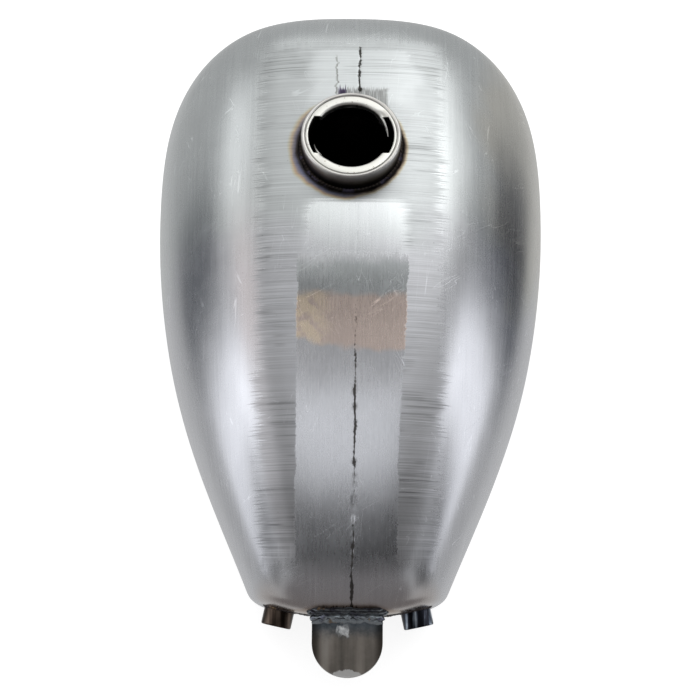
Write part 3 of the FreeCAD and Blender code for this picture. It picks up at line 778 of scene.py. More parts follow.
def tongue_point(x, along, drop):
    """Point of the tongue: across, away from the wall, below its crowned upper face."""
    crown = math.sqrt((TONGUE_CROWN - drop) ** 2 - x * x) - TONGUE_CROWN
    return TONGUE_ROOT + np.array([x, 0, 0]) + TONGUE_ALONG * along + TONGUE_UP * crown


def make_tongue(material):
    """Crowned plate with a half-round end and slightly eased edges."""
    across, rows = 44, 40
    start = -1.0 * MM           # a little way into the wall
    vertices = []
    for drop in (0.0, TONGUE_SHEET):
        for i in range(rows + 1):
            for j in range(across + 1):
                x = TONGUE_HALF * math.sin((j / across - 0.5) * math.pi)
                end = TONGUE_REACH - TONGUE_HALF + math.sqrt(max(0, TONGUE_HALF ** 2 - x * x))
                vertices.append(tongue_point(x, start + (end - start) * i / rows, drop))
    width, layer = across + 1, (across + 1) * (rows + 1)
    faces = grid_faces(rows + 1, width)
    faces += [tuple(i + layer for i in face[::-1]) for face in faces]
    rim = list(range(width))
    rim += [(i + 1) * width - 1 for i in range(1, rows + 1)]
    rim += [rows * width + i for i in range(across - 1, -1, -1)]
    rim += [i * width for i in range(rows - 1, 0, -1)]
    faces += [(b, a, a + layer, b + layer) for a, b in zip(rim, rim[1:] + rim[:1])]
    mesh = evaluated("tongue_plate", smooth_mesh("tongue_plate", vertices, faces, material),
                     width=0.45 * MM, segments=3, limit_method="ANGLE",
                     angle_limit=math.radians(50))
    make_piece("tongue_plate", shaded(mesh, material), "rear_tongue")


def make_tongue_bead(tree, material):
    """Heavy weld in several passes on the wall, toe passes over the tongue's root, and its ends."""
    reach = TONGUE_HALF + 1.2 * MM
    shares = np.linspace(-1, 1, 41)
    passes = []
    for height, half_width, lift, spread, seed in WALL_PASSES:
        origins = []
        for x in (reach * share * spread for share in shares):
            droop = TONGUE_CROWN - math.sqrt(TONGUE_CROWN ** 2 - x * x)
            origins.append((x, -REACH, height * MM - 1.3 * droop))
        passes.append((path_on_hull(tree, origins, FORWARD), half_width, lift, seed))
    lean = unit(TONGUE_UP + 0.5 * TONGUE_ALONG)
    for near, half_width, lift, spread, seed in TOE_PASSES:
        points = [tongue_point(reach * spread * share, (near + 1.2 * share ** 4) * MM, 0)
                  for share in shares]
        passes.append(((np.array(points), np.array([lean] * len(points))), half_width, lift, seed))
    meshes = [bead_mesh("pass", path, half_width, lift, 3.4, material, seed, closed=False,
                        ripple=0.04, wander=0.30) for path, half_width, lift, seed in passes]
    for _, sign in SIDES:
        origins = [(sign * (reach + 0.3 * MM), -REACH, height * MM)
                   for height in np.linspace(68.5, 60.5, 9)]
        meshes.append(bead_mesh("pass", path_on_hull(tree, origins, FORWARD), 1.6, 2.0, 3.0,
                                material, 60 + sign, closed=False, ripple=0.1))
    make_piece("tongue_bead", joined("tongue_bead", meshes), "rear_tongue_weld")


# ---- front ears

EAR_EYE = 10 * MM
EAR_HOLE = MOUNTS["front_bolt"]["dims"]["r_mm"] * MM
EAR_Y, EAR_Z = MOUNTS["front_bolt"]["pos_m"][1:]
EAR_EASE = 0.4 * MM


def flat_plate(name, outlines, thickness, ease):
    """Plate with eased edges, its outline in local X and Y; later outlines are holes."""
    curve = bpy.data.curves.new(name, "CURVE")
    curve.dimensions = "2D"
    curve.fill_mode = "BOTH"
    curve.extrude = thickness / 2 - ease
    curve.bevel_depth = ease
    curve.bevel_resolution = 2
    curve.offset = -ease
    for outline in outlines:
        spline = curve.splines.new("POLY")
        spline.points.add(len(outline) - 1)
        spline.points.foreach_set("co", [c for x, y in outline for c in (x, y, 0, 1)])
        spline.use_cyclic_u = True
    return evaluated(name, curve)


def make_ears(material):
    for side, _ in SIDES:
        low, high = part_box(side + "_front_ear")
        outline = arc(EAR_Y, EAR_Z, EAR_EYE, -90, 90, 24)
        outline = [(low.y - 1 * MM, outline[0][1]), *outline, (low.y - 1 * MM, outline[-1][1])]
        hole = [(EAR_Y + EAR_HOLE * math.cos(a), EAR_Z + EAR_HOLE * math.sin(a))
                for a in full_turn(48)]
        mesh = flat_plate(side + "_ear", [outline, hole], high.x - low.x, EAR_EASE)
        for vertex in mesh.vertices:
            vertex.co = Vector(((low.x + high.x) / 2 + vertex.co.z, vertex.co.x, vertex.co.y))
        make_piece(side + "_ear", shaded(mesh, material, 35), side + "_front_ear")


def make_ear_beads(tree, material):
    """Beads round the feet of the ears: rectangles carried onto the front wall."""
    z_low, z_high = EAR_Z - EAR_EYE, EAR_Z + EAR_EYE
    for side, sign in SIDES:
        low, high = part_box(side + "_front_ear")
        corners = [(low.x, z_low), (high.x, z_low), (high.x, z_high), (low.x, z_high)]
        origins = []
        for (x0, z0), (x1, z1) in zip(corners, corners[1:] + corners[:1]):
            steps = 4 if abs(x1 - x0) > abs(z1 - z0) else 14
            for share in np.linspace(0, 1, steps, endpoint=False):
                origins.append((x0 + (x1 - x0) * share, REACH, z0 + (z1 - z0) * share))
        make_bead(side + "_ear_bead", side + "_front_ear_weld",
                  path_on_hull(tree, origins, -FORWARD), 2.2, 1.9, 2.2, material, 70 + sign)


# ---- shader helper

def operation(kind, swapped=False):
    """Python's arithmetic on a Value as a Math node of one kind."""
    def method(self, other=0.0):
        first, second = (other, self) if swapped else (self, other)
        return self.graph.math(kind, first, second)
    return method


class Value:
    """Output of a node that takes part in arithmetic; each operation adds a Math node."""

    def __init__(self, graph, socket):
        self.graph, self.socket = graph, socket

    __add__, __radd__ = operation("ADD"), operation("ADD", True)
    __sub__, __rsub__ = operation("SUBTRACT"), operation("SUBTRACT", True)
    __mul__, __rmul__ = operation("MULTIPLY"), operation("MULTIPLY", True)
    __truediv__, __abs__ = operation("DIVIDE"), operation("ABSOLUTE")

    def clamped(self):
        """The same value, held between 0 and 1."""
        self.socket.node.use_clamp = True
        return self


class Graph:
    """Short calls for building the node tree of a material or a world."""

    def __init__(self, owner):
        owner.use_nodes = True
        self.owner, self.tree = owner, owner.node_tree
        self.tree.nodes.clear()

    def add(self, kind, sockets=None, output=0, **settings):
        """Add a node, fill its sockets and give one of its outputs."""
        node = self.tree.nodes.new("ShaderNode" + kind)
        for key, value in settings.items():
            setattr(node, key, value)
        for key, value in (sockets or {}).items():
            self.put(node.inputs[key], value)
        return Value(self, node.outputs[output])

    def put(self, socket, value):
        if isinstance(value, Value):
            self.tree.links.new(value.socket, socket)
        elif isinstance(value, tuple) and socket.type == "RGBA":
            socket.default_value = (*value, 1)
        else:
            socket.default_value = value

    def end(self, kind, shader):
        """Join a shader to the tree's output; gives the finished material or world."""
        output = self.tree.nodes.new("ShaderNodeOutput" + kind)
        self.put(output.inputs["Surface"], shader)
        return self.owner

    def math(self, kind, first, second=0.0):
        return self.add("Math", {0: first, 1: second}, operation=kind)

    def root(self, value):
        return self.math("SQRT", value)

    def most(self, first, second):
        return self.math("MAXIMUM", first, second)

    def step(self, value, low, high, to_low=0.0, to_high=1.0):
        """Smooth change from to_low to to_high between two values."""
        return self.add("MapRange", {"Value": value, "From Min": low, "From Max": high,
                                     "To Min": to_low, "To Max": to_high},
                        "Result", interpolation_type="SMOOTHSTEP")

    def window(self, value, low, high, soft):
        """1 between two values, 0 outside, with soft edges."""
        return self.step(value, low - soft, low + soft) * self.step(value, high + soft, high - soft)

    def split(self, vector):
        socket = self.add("SeparateXYZ", {0: vector}).socket
        return [Value(self, output) for output in socket.node.outputs]

    def vector(self, x=0.0, y=0.0, z=0.0):
        return self.add("CombineXYZ", {0: x, 1: y, 2: z})

    def vector_math(self, kind, first, second, output="Vector"):
        return self.add("VectorMath", {0: first, 1: second}, output, operation=kind)

    def noise(self, at, scale=1.0, detail=2.0, roughness=0.5):
        """Smooth noise, 0 to 1, at a vector or at the values of a tuple."""
        at = self.vector(*at) if isinstance(at, tuple) else at
        return self.add("TexNoise", {"Vector": at, "Scale": scale, "Detail": detail,
                                     "Roughness": roughness})

    def centred(self, value, size):
        """A 0-to-1 value moved to either side of zero."""
        return (value - 0.5) * (2.0 * size)

    def ramp(self, value, *stops):
        colour = self.add("ValToRGB", {0: value})
        elements = colour.socket.node.color_ramp.elements
        while len(elements) < len(stops):
            elements.new(0.5)
        for element, (place, shade) in zip(elements, stops):
            element.position = place
            element.color = (*shade, 1)
        return colour

    def mix(self, share, first, second, blend="MIX"):
        return self.add("Mix", {0: share, 6: first, 7: second}, 2, data_type="RGBA",
                        blend_type=blend)

    def tinted(self, colour, tint, share=1.0):
        return self.mix(share, colour, tint, "MULTIPLY")

    def brightened(self, colour, factor):
        return self.add("VectorMath", {0: colour, "Scale": factor}, operation="SCALE")

    def bump(self, height, distance):
        return self.add("Bump", {"Distance": distance, "Height": height}, "Normal")

    def metal(self, colour, roughness, normal, anisotropy=0.0, turn=0.0, tangent=None):
        """Polished metal as the tree's shader; gives the finished material."""
        sockets = {"Base Color": colour, "Metallic": 1.0, "Roughness": roughness,
                   "Normal": normal, "Anisotropic": anisotropy, "Anisotropic Rotation": turn}
        if tangent is not None:
            sockets["Tangent"] = tangent
        return self.end("Material", self.add("BsdfPrincipled", sockets))


def new_material(name):
    g = Graph(bpy.data.materials.new(name))
    return g, g.add("TexCoord", output="Object")


# ---- sheet material

BAND_LEFT = 31.3 * MM       # lengthwise-sanded band along the crown
BAND_RIGHT = (29.0 * MM, 35.0 * MM)     # at the rear and at the front
BAND_REAR = -0.152
BAND_FRONT = 0.018
CROSS_EDGE = 54 * MM        # crosswise-sanded bands beside it, each stroke with its own end
CROSS_RUN = (-0.148, 0.168)
POLISHED = ((-24 * MM, 38 * MM), (0.120, 0.163))    # x and y rubbed bright before the neck
CLOUD = ((-28 * MM, 34 * MM), (0.016, 0.052))       # x and y left smooth behind the neck
STEEL = (0.60, 0.60, 0.60)
WHITE = (1.0, 1.0, 1.0)
NECK_Y = float(NECK_FOOT[1])
NECK_HEAT_START = 31.8 * MM     # radius where the neck's temper colours begin
SHEET_BUMP = 6e-6


def neck_heat(g, x, y):
    """Temper colours round the foot of the neck, widest at the left and lower left."""
    dy = y - NECK_Y
    radius = g.root(x * x + dy * dy)
    left = g.step((x * -0.97 + dy * 0.24) / radius, 0.35, 1.0)
    low = g.step((x * -0.55 + dy * -0.83) / radius, 0.60, 1.0)
    wobble = g.centred(g.noise((x, y), 110.0, 3.0), 1.5 * MM)
    width = 3.4 * MM + left * (3.4 * MM) + low * (2.6 * MM)
    share = ((radius + wobble - NECK_HEAT_START) / width).clamped()
    blued = g.ramp(share, (0.0, (0.03, 0.025, 0.02)), (0.16, (0.09, 0.08, 0.09)),
                   (0.34, (0.28, 0.28, 0.40)), (0.52, (0.50, 0.43, 0.47)),
                   (0.66, (0.86, 0.62, 0.42)), (0.84, (0.96, 0.88, 0.70)), (1.0, WHITE))
    browned = g.ramp(share, (0.0, (0.03, 0.025, 0.02)), (0.20, (0.12, 0.09, 0.07)),
                     (0.42, (0.42, 0.33, 0.25)), (0.64, (0.82, 0.70, 0.52)),
                     (0.84, (0.96, 0.93, 0.84)), (1.0, WHITE))
    return g.mix(g.math("MINIMUM", 1.0, low + left * 0.6), browned, blued)


def sanding_masks(g, y, across, along, ends):
    """Crown band sanded lengthwise, bands beside it sanded crosswise; ragged edges."""
    ragged = (g.centred(g.noise((0.0, along), 60.0, 3.0), 1.8 * MM)
              + g.centred(g.noise((across, along), 700.0, 2.0), 1.3 * MM))
    right_edge = g.step(y, -0.12, 0.03, *BAND_RIGHT)
    beyond = g.most(across * -1.0 - BAND_LEFT, across - right_edge)
    band = (g.step(beyond + ragged, 0.5 * MM, -0.5 * MM)
            * g.window(y + ends * 1.6, BAND_REAR, BAND_FRONT, 3 * MM))
    strokes = (g.centred(g.noise((0.0, along, 2.0), 1000.0, 2.0, 0.6), 17 * MM)
               + g.centred(g.noise((0.0, along, 5.0), 90.0, 2.0, 0.6), 9 * MM))
    cross = (g.step(abs(across) + strokes, CROSS_EDGE + 3 * MM, CROSS_EDGE - 3 * MM)
             * (1.0 - band) * g.window(y + ends * 1.5, *CROSS_RUN, 6 * MM))
    smooth = (g.window(across, *CLOUD[0], 9 * MM) * g.window(y, *CLOUD[1], 8 * MM)
              + g.centred(g.noise((across * 8.0, along * 900.0, 8.0)), 0.5))
    return band, cross * g.step(smooth, 0.80, 0.20)


def hair_scratches(g, across, along, *sorts):
    """Sparse thin scratches, 0 to 1; a sort is a direction, a length, a width and how rare."""
    total = 0.0
    for turn, length, width, keep in sorts:
        cos, sin = math.cos(math.radians(turn)), math.sin(math.radians(turn))
        run = along * cos + across * sin
        side = along * -sin + across * cos
        field = g.noise((side * (1 / width), run * (1 / length)), 1.0, 1.0)
        line = g.step(abs(field - 0.5), 0.006, 0.0)
        patches = g.noise((side * (0.3 / width), run * (1.1 / length), turn + 3.0), 1.0, 0.0)
        total = g.most(total, line * g.step(patches, keep, keep + 0.06))
    return total


def rubbed_and_painted_bright(g, x, y, ends):
    """Extra brightness: a patch rubbed bright before the neck, and painted light on the crown all
    round it.
    """
    (left, right), (rear, front) = POLISHED
    drift = g.centred(g.noise((x, y, 6.0), 45.0, 3.0), 16 * MM)
    polished = (g.window(x + drift, left, right, 6 * MM)
                * g.step(y + ends * 0.3, front + 1 * MM, front - 1 * MM)
                * g.step(y + drift, rear - 8 * MM, rear + 8 * MM))
    # Painted light: the crown lighter from just behind the neck forwards.
    painted_light_front = g.step(y, 10 * MM, 50 * MM) * g.window(x, -50 * MM, 50 * MM, 8 * MM)
    return polished * 0.24 + painted_light_front * 0.07


def sheet_tint(g, x, y, z):
    """Faint mill colours: bluish at the rear, greenish round the neck, straw at the right edge."""
    cloud = g.centred(g.noise((x, y, z), 22.0, 3.0), 60 * MM)
    front = g.step(y + cloud, 0.000, 0.060)
    tint = g.mix(front, (0.985, 1.0, 1.045), (0.955, 1.0, 1.010))
    rim = g.step(x + cloud * 0.3, 0.072, 0.096) * front
    return g.mix(rim, tint, (1.01, 1.0, 0.93))


def sheet_steel(name, weld):
    """Bare drawn sheet; the crown is sanded in bands. weld adds the ground seam's pits."""
    g, position = new_material(name)
    x, y, z = g.split(position)
    across, along, _ = g.split(g.add("UVMap", uv_map="sheet"))
    ends = g.centred(g.noise((across, 0.0), 380.0, 4.0, 0.75), 8 * MM)
    band, cross = sanding_masks(g, y, across, along, ends)
    drawn = 1.0 - (band + cross).clamped()

    lengthwise = (g.noise((across * 1000.0, along * 150.0), 1.0, 3.0, 0.65) * 0.6
                  + g.noise((across * 900.0, along * 24.0, 7.0), 1.0, 2.0, 0.6) * 0.4)
    crosswise = g.noise((across * 8.0, along * 1250.0), 1.0, 2.0, 0.75)
    patchy = g.noise((across * 0.8, along, 9.0), 26.0, 2.0)
    strokes = g.centred(crosswise, 1.0) * g.step(patchy, 0.36, 0.62, 0.30, 1.0)
    flow = g.noise((across * 520.0, along * 16.0), 1.0, 3.0, 0.6)
    grain = g.noise((across, along), 1300.0, 2.0, 0.6)
    lines = (g.centred(lengthwise, 1.0) * band + strokes * cross * 3.2
             + drawn * (g.centred(flow, 1.0) * 0.55 + g.centred(grain, 1.0) * 0.45))
    scored = (g.step(g.noise((across * 12.0, along * 1050.0, 5.0), 1.0, 2.0, 0.6), 0.51, 0.62)
              * g.step(g.noise((across * 0.7, along, 2.0), 30.0, 2.0), 0.50, 0.60) * cross)
    mottle = g.noise((across, along), 34.0, 4.0, 0.6)
    blotch = g.noise((across, along * 0.55, 4.0), 95.0, 3.0, 0.55)
    scratch = hair_scratches(g, across, along, (6, 0.060, 0.005, 0.62),
                             (58, 0.038, 0.005, 0.64), (-24, 0.030, 0.004, 0.66))
    nicks = (g.step(g.noise((across * 330.0, along * 250.0), 1.0, 2.0, 0.7), 0.740, 0.770)
             * (1.0 - band))
    # Painted shade: the last term darkens the crosswise-sanded bands towards the tail.
    tone = (1.0 + lines * 0.24 + g.centred(mottle, 0.08) + g.centred(blotch, 0.06)
            + scratch * 0.35 + nicks * -0.5 + cross * -0.05 + scored * -0.34
            + rubbed_and_painted_bright(g, x, y, ends) + cross * g.step(y, -0.100, -0.128) * -0.26)
    colour = g.tinted(g.brightened(STEEL, tone), sheet_tint(g, x, y, z))
    colour = g.tinted(colour, neck_heat(g, x, y))
    colour = paint_marks(g, colour, x, y, z, band)
    beads = g.noise((x * 700.0, y * 640.0, 3.0), 1.0, 2.0, 0.6)
    cavity = g.add("Attribute", output="Fac", attribute_name="cavity")
    in_groove = g.step(cavity + g.centred(beads, 0.5), 0.22, 0.50)
    colour = g.tinted(colour, (0.15, 0.14, 0.13), in_groove)
    if weld:
        pits = g.noise((across, along), 700.0, 1.0)
        colour = g.tinted(colour, (0.35, 0.31, 0.28), g.step(pits, 0.76, 0.80))

    roughness = (band * 0.27 + cross * 0.35 + drawn * 0.27 + g.centred(mottle, 0.05)
                 + lines * 0.05 + scratch * 0.08 + in_groove * 0.3)
    anisotropy = band * 0.80 + cross * 0.85 + drawn * 0.35
    tangent = g.add("Tangent", direction_type="UV_MAP", uv_map="sheet")
    return g.metal(colour, roughness, g.bump(lines + scratch * -1.5, SHEET_BUMP), anisotropy,
                   g.step(cross, 0.02, 0.10) * 0.25, tangent)


def paint_marks(g, colour, x, y, z, band):
    """Marks: a brown crown patch, golden and lighter at its left, handling marks before the neck,
    soot by the tongue.
    """
    streaks = g.noise((x * 1500.0, y * 60.0), 1.0, 2.0)
    waved = y + g.centred(g.noise((x, y), 70.0, 3.0), 6 * MM)
    bowed = waved + x * x * -3.5 + x * 0.10
    patch = g.step(bowed, -0.043, -0.038) * g.step(waved, -0.005, -0.011) * band
    golden = (patch * g.step(x, -6 * MM, -24 * MM)
              * g.step(g.noise((x, y, 3.0), 160.0, 3.0), 0.34, 0.56))
    colour = g.tinted(colour, (1.22, 1.01, 0.88), patch)
    colour = g.mix(golden * 0.6, colour, (0.98, 0.84, 0.62))
    green = g.window(waved, -0.008, 0.012, 4 * MM) * band
    colour = g.tinted(colour, (0.84, 0.87, 0.85), green)

    front_end = y + g.centred(streaks, 7 * MM)
    drift = g.centred(g.noise((0.0, y), 300.0), 2 * MM)
    smear = (g.window(x + drift, -8 * MM, 22 * MM, 1.5 * MM)
             * g.window(front_end, 0.114, 0.1312, 1.2 * MM) * g.step(streaks, 0.22, 0.55))
    colour = g.tinted(colour, (0.42, 0.41, 0.40), smear)
    blot = g.window(x, -8 * MM, -3 * MM, 1.2 * MM) * g.window(front_end, 0.121, 0.1318, 1.0 * MM)
    colour = g.tinted(colour, (0.20, 0.16, 0.27), blot)
    wriggle = g.centred(g.noise((0.0, y), 260.0, 2.0), 3 * MM)
    squiggle = (g.step(abs(x + 9 * MM + wriggle), 0.9 * MM, 0.3 * MM)
                * g.window(y, 0.126, 0.158, 2 * MM) * g.step(streaks, 0.35, 0.55))
    colour = g.tinted(colour, (0.45, 0.44, 0.42), squiggle)
    return tongue_soot(g, colour, x, y, z)


def tongue_soot(g, colour, x, y, z):
    """Straw and brown around the tongue's weld, black soot and brush strokes above it."""
    rear = g.step(y, -0.150, -0.162)
    straw = g.step(z, 0.092, 0.066) * rear
    colour = g.tinted(colour, (0.93, 0.86, 0.80), straw)
    strokes = g.noise((x * 800.0, z * 30.0), 1.0, 2.0)
    spread = g.most(abs(x) - 17 * MM, 0.0) * 0.55
    height = z + spread + x * x * 5.0 - 72 * MM
    brown = g.step(height + g.centred(strokes, 1.5 * MM), 9.0 * MM, 2.0 * MM)
    colour = g.tinted(colour, (0.55, 0.44, 0.35), brown * rear)
    near_middle = g.step(abs(x + 3 * MM), 19 * MM, 6 * MM)
    soot = g.step(height + g.centred(strokes, 9.0 * MM), 3.6 * MM, 2.6 * MM)
    return g.tinted(colour, (0.16, 0.15, 0.14), soot * rear * near_middle)


# ---- other materials

def inside_steel():
    """Unfinished inside of the tank: dull, darker, with light rust bloom."""
    g, position = new_material("inside_steel")
    bloom = g.noise(position, 60.0, 5.0, 0.65)
    colour = g.mix(g.step(bloom, 0.50, 0.70), (0.20, 0.20, 0.20), (0.16, 0.11, 0.08))
    return g.metal(colour, 0.42 + g.centred(bloom, 0.1), g.bump(bloom, 3e-5))


def mill_steel():
    """Flat and folded sheet underneath: mill finish, rolled lengthwise, tinted by the welds."""
    g, position = new_material("mill_steel")
    x, y, z = g.split(position)
    rolled = g.noise((x * 900.0, y * 14.0, z * 900.0), 1.0, 3.0, 0.6)
    mottle = g.noise(position, 38.0, 4.0, 0.6)
    scratch = hair_scratches(g, x, y, (12, 0.05, 0.004, 0.56), (-50, 0.03, 0.003, 0.60))
    tone = 1.0 + g.centred(rolled, 0.08) + g.centred(mottle, 0.09) + scratch * 0.15
    from_weld = abs(abs(x) - 33 * MM) + g.centred(mottle, 3 * MM)
    temper = g.ramp(g.step(from_weld, 1 * MM, 11 * MM), (0.0, (0.35, 0.35, 0.52)),
                    (0.3, (0.62, 0.45, 0.52)), (0.55, (0.86, 0.66, 0.42)),
                    (0.8, (0.95, 0.87, 0.68)), (1.0, WHITE))
    colour = g.tinted(g.brightened((0.56, 0.56, 0.565), tone), temper, g.step(z, 0.012, 0.002))
    return g.metal(colour, 0.30 + g.centred(mottle, 0.07), g.bump(rolled + scratch, 6e-6), 0.4)


def weld_steel(name, low, high, flash, coarse=2.5e-5):
    """As-welded bead: dark valleys, lighter crests and patches of temper colour."""
    g, position = new_material(name)
    crest = g.add("Attribute", output="Fac", attribute_name="crest")
    patches = g.noise(position, 130.0, 3.0, 0.6)
    fine = g.noise(position, 1400.0, 2.0)
    colour = g.mix(g.step(crest + g.centred(fine, 0.2), 0.25, 0.95), low, high)
    colour = g.mix(g.step(patches, 0.56, 0.66) * 0.75, colour, flash)
    colour = g.tinted(colour, (0.45, 0.42, 0.50), g.step(patches, 0.44, 0.34))
    roughness = 0.30 + g.centred(fine, 0.10) + (1.0 - crest) * 0.15
    return g.metal(colour, roughness, g.bump(fine, coarse))


def flat_weld_steel():
    """Flat weld strips of the underside: ground beads with ripples left in them."""
    g, position = new_material("flat_weld_steel")
    ripple = g.add("TexWave", {"Vector": position, "Scale": 130.0, "Distortion": 3.0,
                               "Detail": 2.0, "Detail Scale": 2.0}, 1,
                   wave_type="BANDS", bands_direction="Y", wave_profile="SAW")
    patches = g.noise(position, 90.0, 3.0)
    colour = g.mix(g.step(patches, 0.4, 0.6), (0.33, 0.31, 0.32), (0.42, 0.36, 0.28))
    colour = g.brightened(colour, 0.8 + ripple * 0.4)
    return g.metal(colour, 0.34 + g.centred(patches, 0.1), g.bump(ripple, 1.5e-4))


def collar_steel():
    """Turned collar, sooted and browned towards its welded foot, and near black there partly as
    painted shade.
    """
    g, position = new_material("collar_steel")
    offset = g.vector_math("SUBTRACT", position, tuple(NECK_FOOT))
    height = g.vector_math("DOT_PRODUCT", offset, tuple(NECK_AXIS), "Value")
    turning = g.noise((0.0, 0.0, height * 4200.0), 1.0, 3.0, 0.7)
    smoke = g.noise(position, 70.0, 3.0)
    share = ((height + g.centred(smoke, 1.6 * MM)) / NECK_HEIGHT).clamped()
    # Darker towards the foot: heat soot, and partly painted shade where the collar meets the tank.
    heat_and_shade = g.ramp(share, (0.0, (0.02, 0.018, 0.015)), (0.28, (0.035, 0.03, 0.026)),
                  (0.50, (0.16, 0.145, 0.14)), (0.72, (0.42, 0.40, 0.42)),
                  (0.88, (0.72, 0.71, 0.73)), (1.0, WHITE))
    tone = 1.0 + g.centred(turning, 0.07) + g.centred(smoke, 0.06)
    colour = g.tinted(g.brightened((0.70, 0.69, 0.66), tone), heat_and_shade)
    return g.metal(colour, 0.34 + g.centred(smoke, 0.06), g.bump(turning, 5e-6), 0.2)


def ring_steel():
    """Bright pressed ring with rub marks from the cap."""
    g, position = new_material("ring_steel")
    x, y, _ = g.split(position)
    dy = y - NECK_Y
    rubbed = g.noise((g.root(x * x + dy * dy) * 1800.0,), 1.0, 3.0, 0.7)
    mottle = g.noise(position, 160.0, 4.0, 0.6)
    nicks = g.step(g.noise(position, 620.0, 1.0), 0.70, 0.76)
    tone = 1.0 + g.centred(rubbed, 0.10) + g.centred(mottle, 0.14)
    colour = g.tinted(g.brightened((0.72, 0.72, 0.68), tone), (0.45, 0.40, 0.34), nicks)
    return g.metal(colour, 0.32 + g.centred(mottle, 0.10), g.bump(rubbed + mottle, 8e-6))


def bung_steel():
    """Outlet bungs blackened by the weld: brown on the left one, blue on the right one; their light
    streaks are partly painted reflections.
    """
    g, position = new_material("bung_steel")
    x, y, z = g.split(position)
    # Streaks: partly the bungs' own heat colours, partly painted reflections, brightest on the
    # right bung.
    streak = g.noise((x * 330.0, y * 12.0, z * 30.0), 1.0, 2.0, 0.5)
    patches = g.noise(position, 120.0, 3.0)
    mixed = streak * 0.8 + patches * 0.2
    brown = g.ramp(mixed, (0.36, (0.022, 0.016, 0.013)), (0.47, (0.050, 0.037, 0.029)),
                   (0.58, (0.105, 0.080, 0.064)), (0.70, (0.19, 0.15, 0.12)))
    blue = g.ramp(mixed, (0.42, (0.012, 0.013, 0.018)), (0.52, (0.032, 0.034, 0.044)),
                  (0.58, (0.16, 0.19, 0.24)), (0.66, (0.52, 0.58, 0.64)))
    colour = g.mix(g.step(x, -1 * MM, 1 * MM), brown, blue)
    fine = g.noise(position, 1500.0, 2.0)
    return g.metal(colour, 0.33 + g.centred(patches, 0.10), g.bump(fine, 8e-6))


def plate_steel():
    """Hot-rolled plate of the tongue and ears: browned, blued by the weld, ground at the tip."""
    g, position = new_material("plate_steel")
    x, y, z = g.split(position)
    away = float(TONGUE_ROOT[1]) - y
    streak = g.noise((x * 110.0, y * 9.0, z * 14.0), 1.0, 3.0, 0.5)
    scale = g.noise(position, 240.0, 5.0, 0.7)
    brown = g.ramp(streak * 0.85 + scale * 0.15, (0.34, (0.075, 0.068, 0.060)),
                   (0.48, (0.135, 0.122, 0.108)), (0.60, (0.20, 0.180, 0.160)),
                   (0.78, (0.27, 0.255, 0.235)))
    blue = g.ramp(scale, (0.3, (0.050, 0.058, 0.066)), (0.6, (0.085, 0.098, 0.112)),
                  (0.8, (0.14, 0.155, 0.17)))
    heated = g.step(away + g.centred(scale, 4 * MM), 16 * MM, 5 * MM)
    on_tongue = g.step(away, 0.0, 1 * MM)
    # Painted shade: the tongue darker towards both long edges.
    painted_shade_sides = g.step(abs(x), 13.5 * MM, 20 * MM)
    colour = g.tinted(g.mix(heated, brown, blue), (0.30, 0.29, 0.28), painted_shade_sides * on_tongue)

    edge = (g.centred(g.noise(position, 420.0, 3.0), 2.6 * MM)
            + g.centred(g.noise((x * 900.0, y * 90.0), 1.0, 1.0), 1.6 * MM))
    spot = (g.step(abs(x + 3.2 * MM + away * -0.10 + edge), 4.2 * MM, 2.0 * MM)
            * g.window(away + edge * 1.4, 6.5 * MM, 12.0 * MM, 1.6 * MM))
    spot_colour = g.ramp(g.noise(position, 500.0, 3.0), (0.35, (0.30, 0.31, 0.32)),
                         (0.65, (0.72, 0.73, 0.73)))
    colour = g.mix(spot * 0.85, colour, spot_colour)
    from_tip = away - 38 * MM
    tip_radius = g.root(x * x * 0.35 + from_tip * from_tip)
    tip = g.step(tip_radius + edge * 0.5, 7.0 * MM, 6.2 * MM)
    colour = g.mix(tip * on_tongue * 0.9, colour, (0.46, 0.455, 0.445))
    ground = g.most(spot, tip)
    roughness = 0.36 + g.centred(scale, 0.10) + ground * -0.04
    return g.metal(colour, roughness, g.bump(scale + ground * -2.0, 2e-5))


def floor_paint():
    """Pale floor that glows enough to stay as even as the ground in the photo."""
    g, position = new_material("floor_paint")
    speck = g.noise(position, 9.0, 3.0)
    colour = g.brightened((0.93, 0.93, 0.93), 1.0 + g.centred(speck, 0.01))
    return g.end("Material", g.add("BsdfPrincipled", {
        "Base Color": g.brightened(colour, 0.35), "Roughness": 0.9, "Specular IOR Level": 0.1,
        "Emission Color": colour, "Emission Strength": 0.92}))


# ---- studio

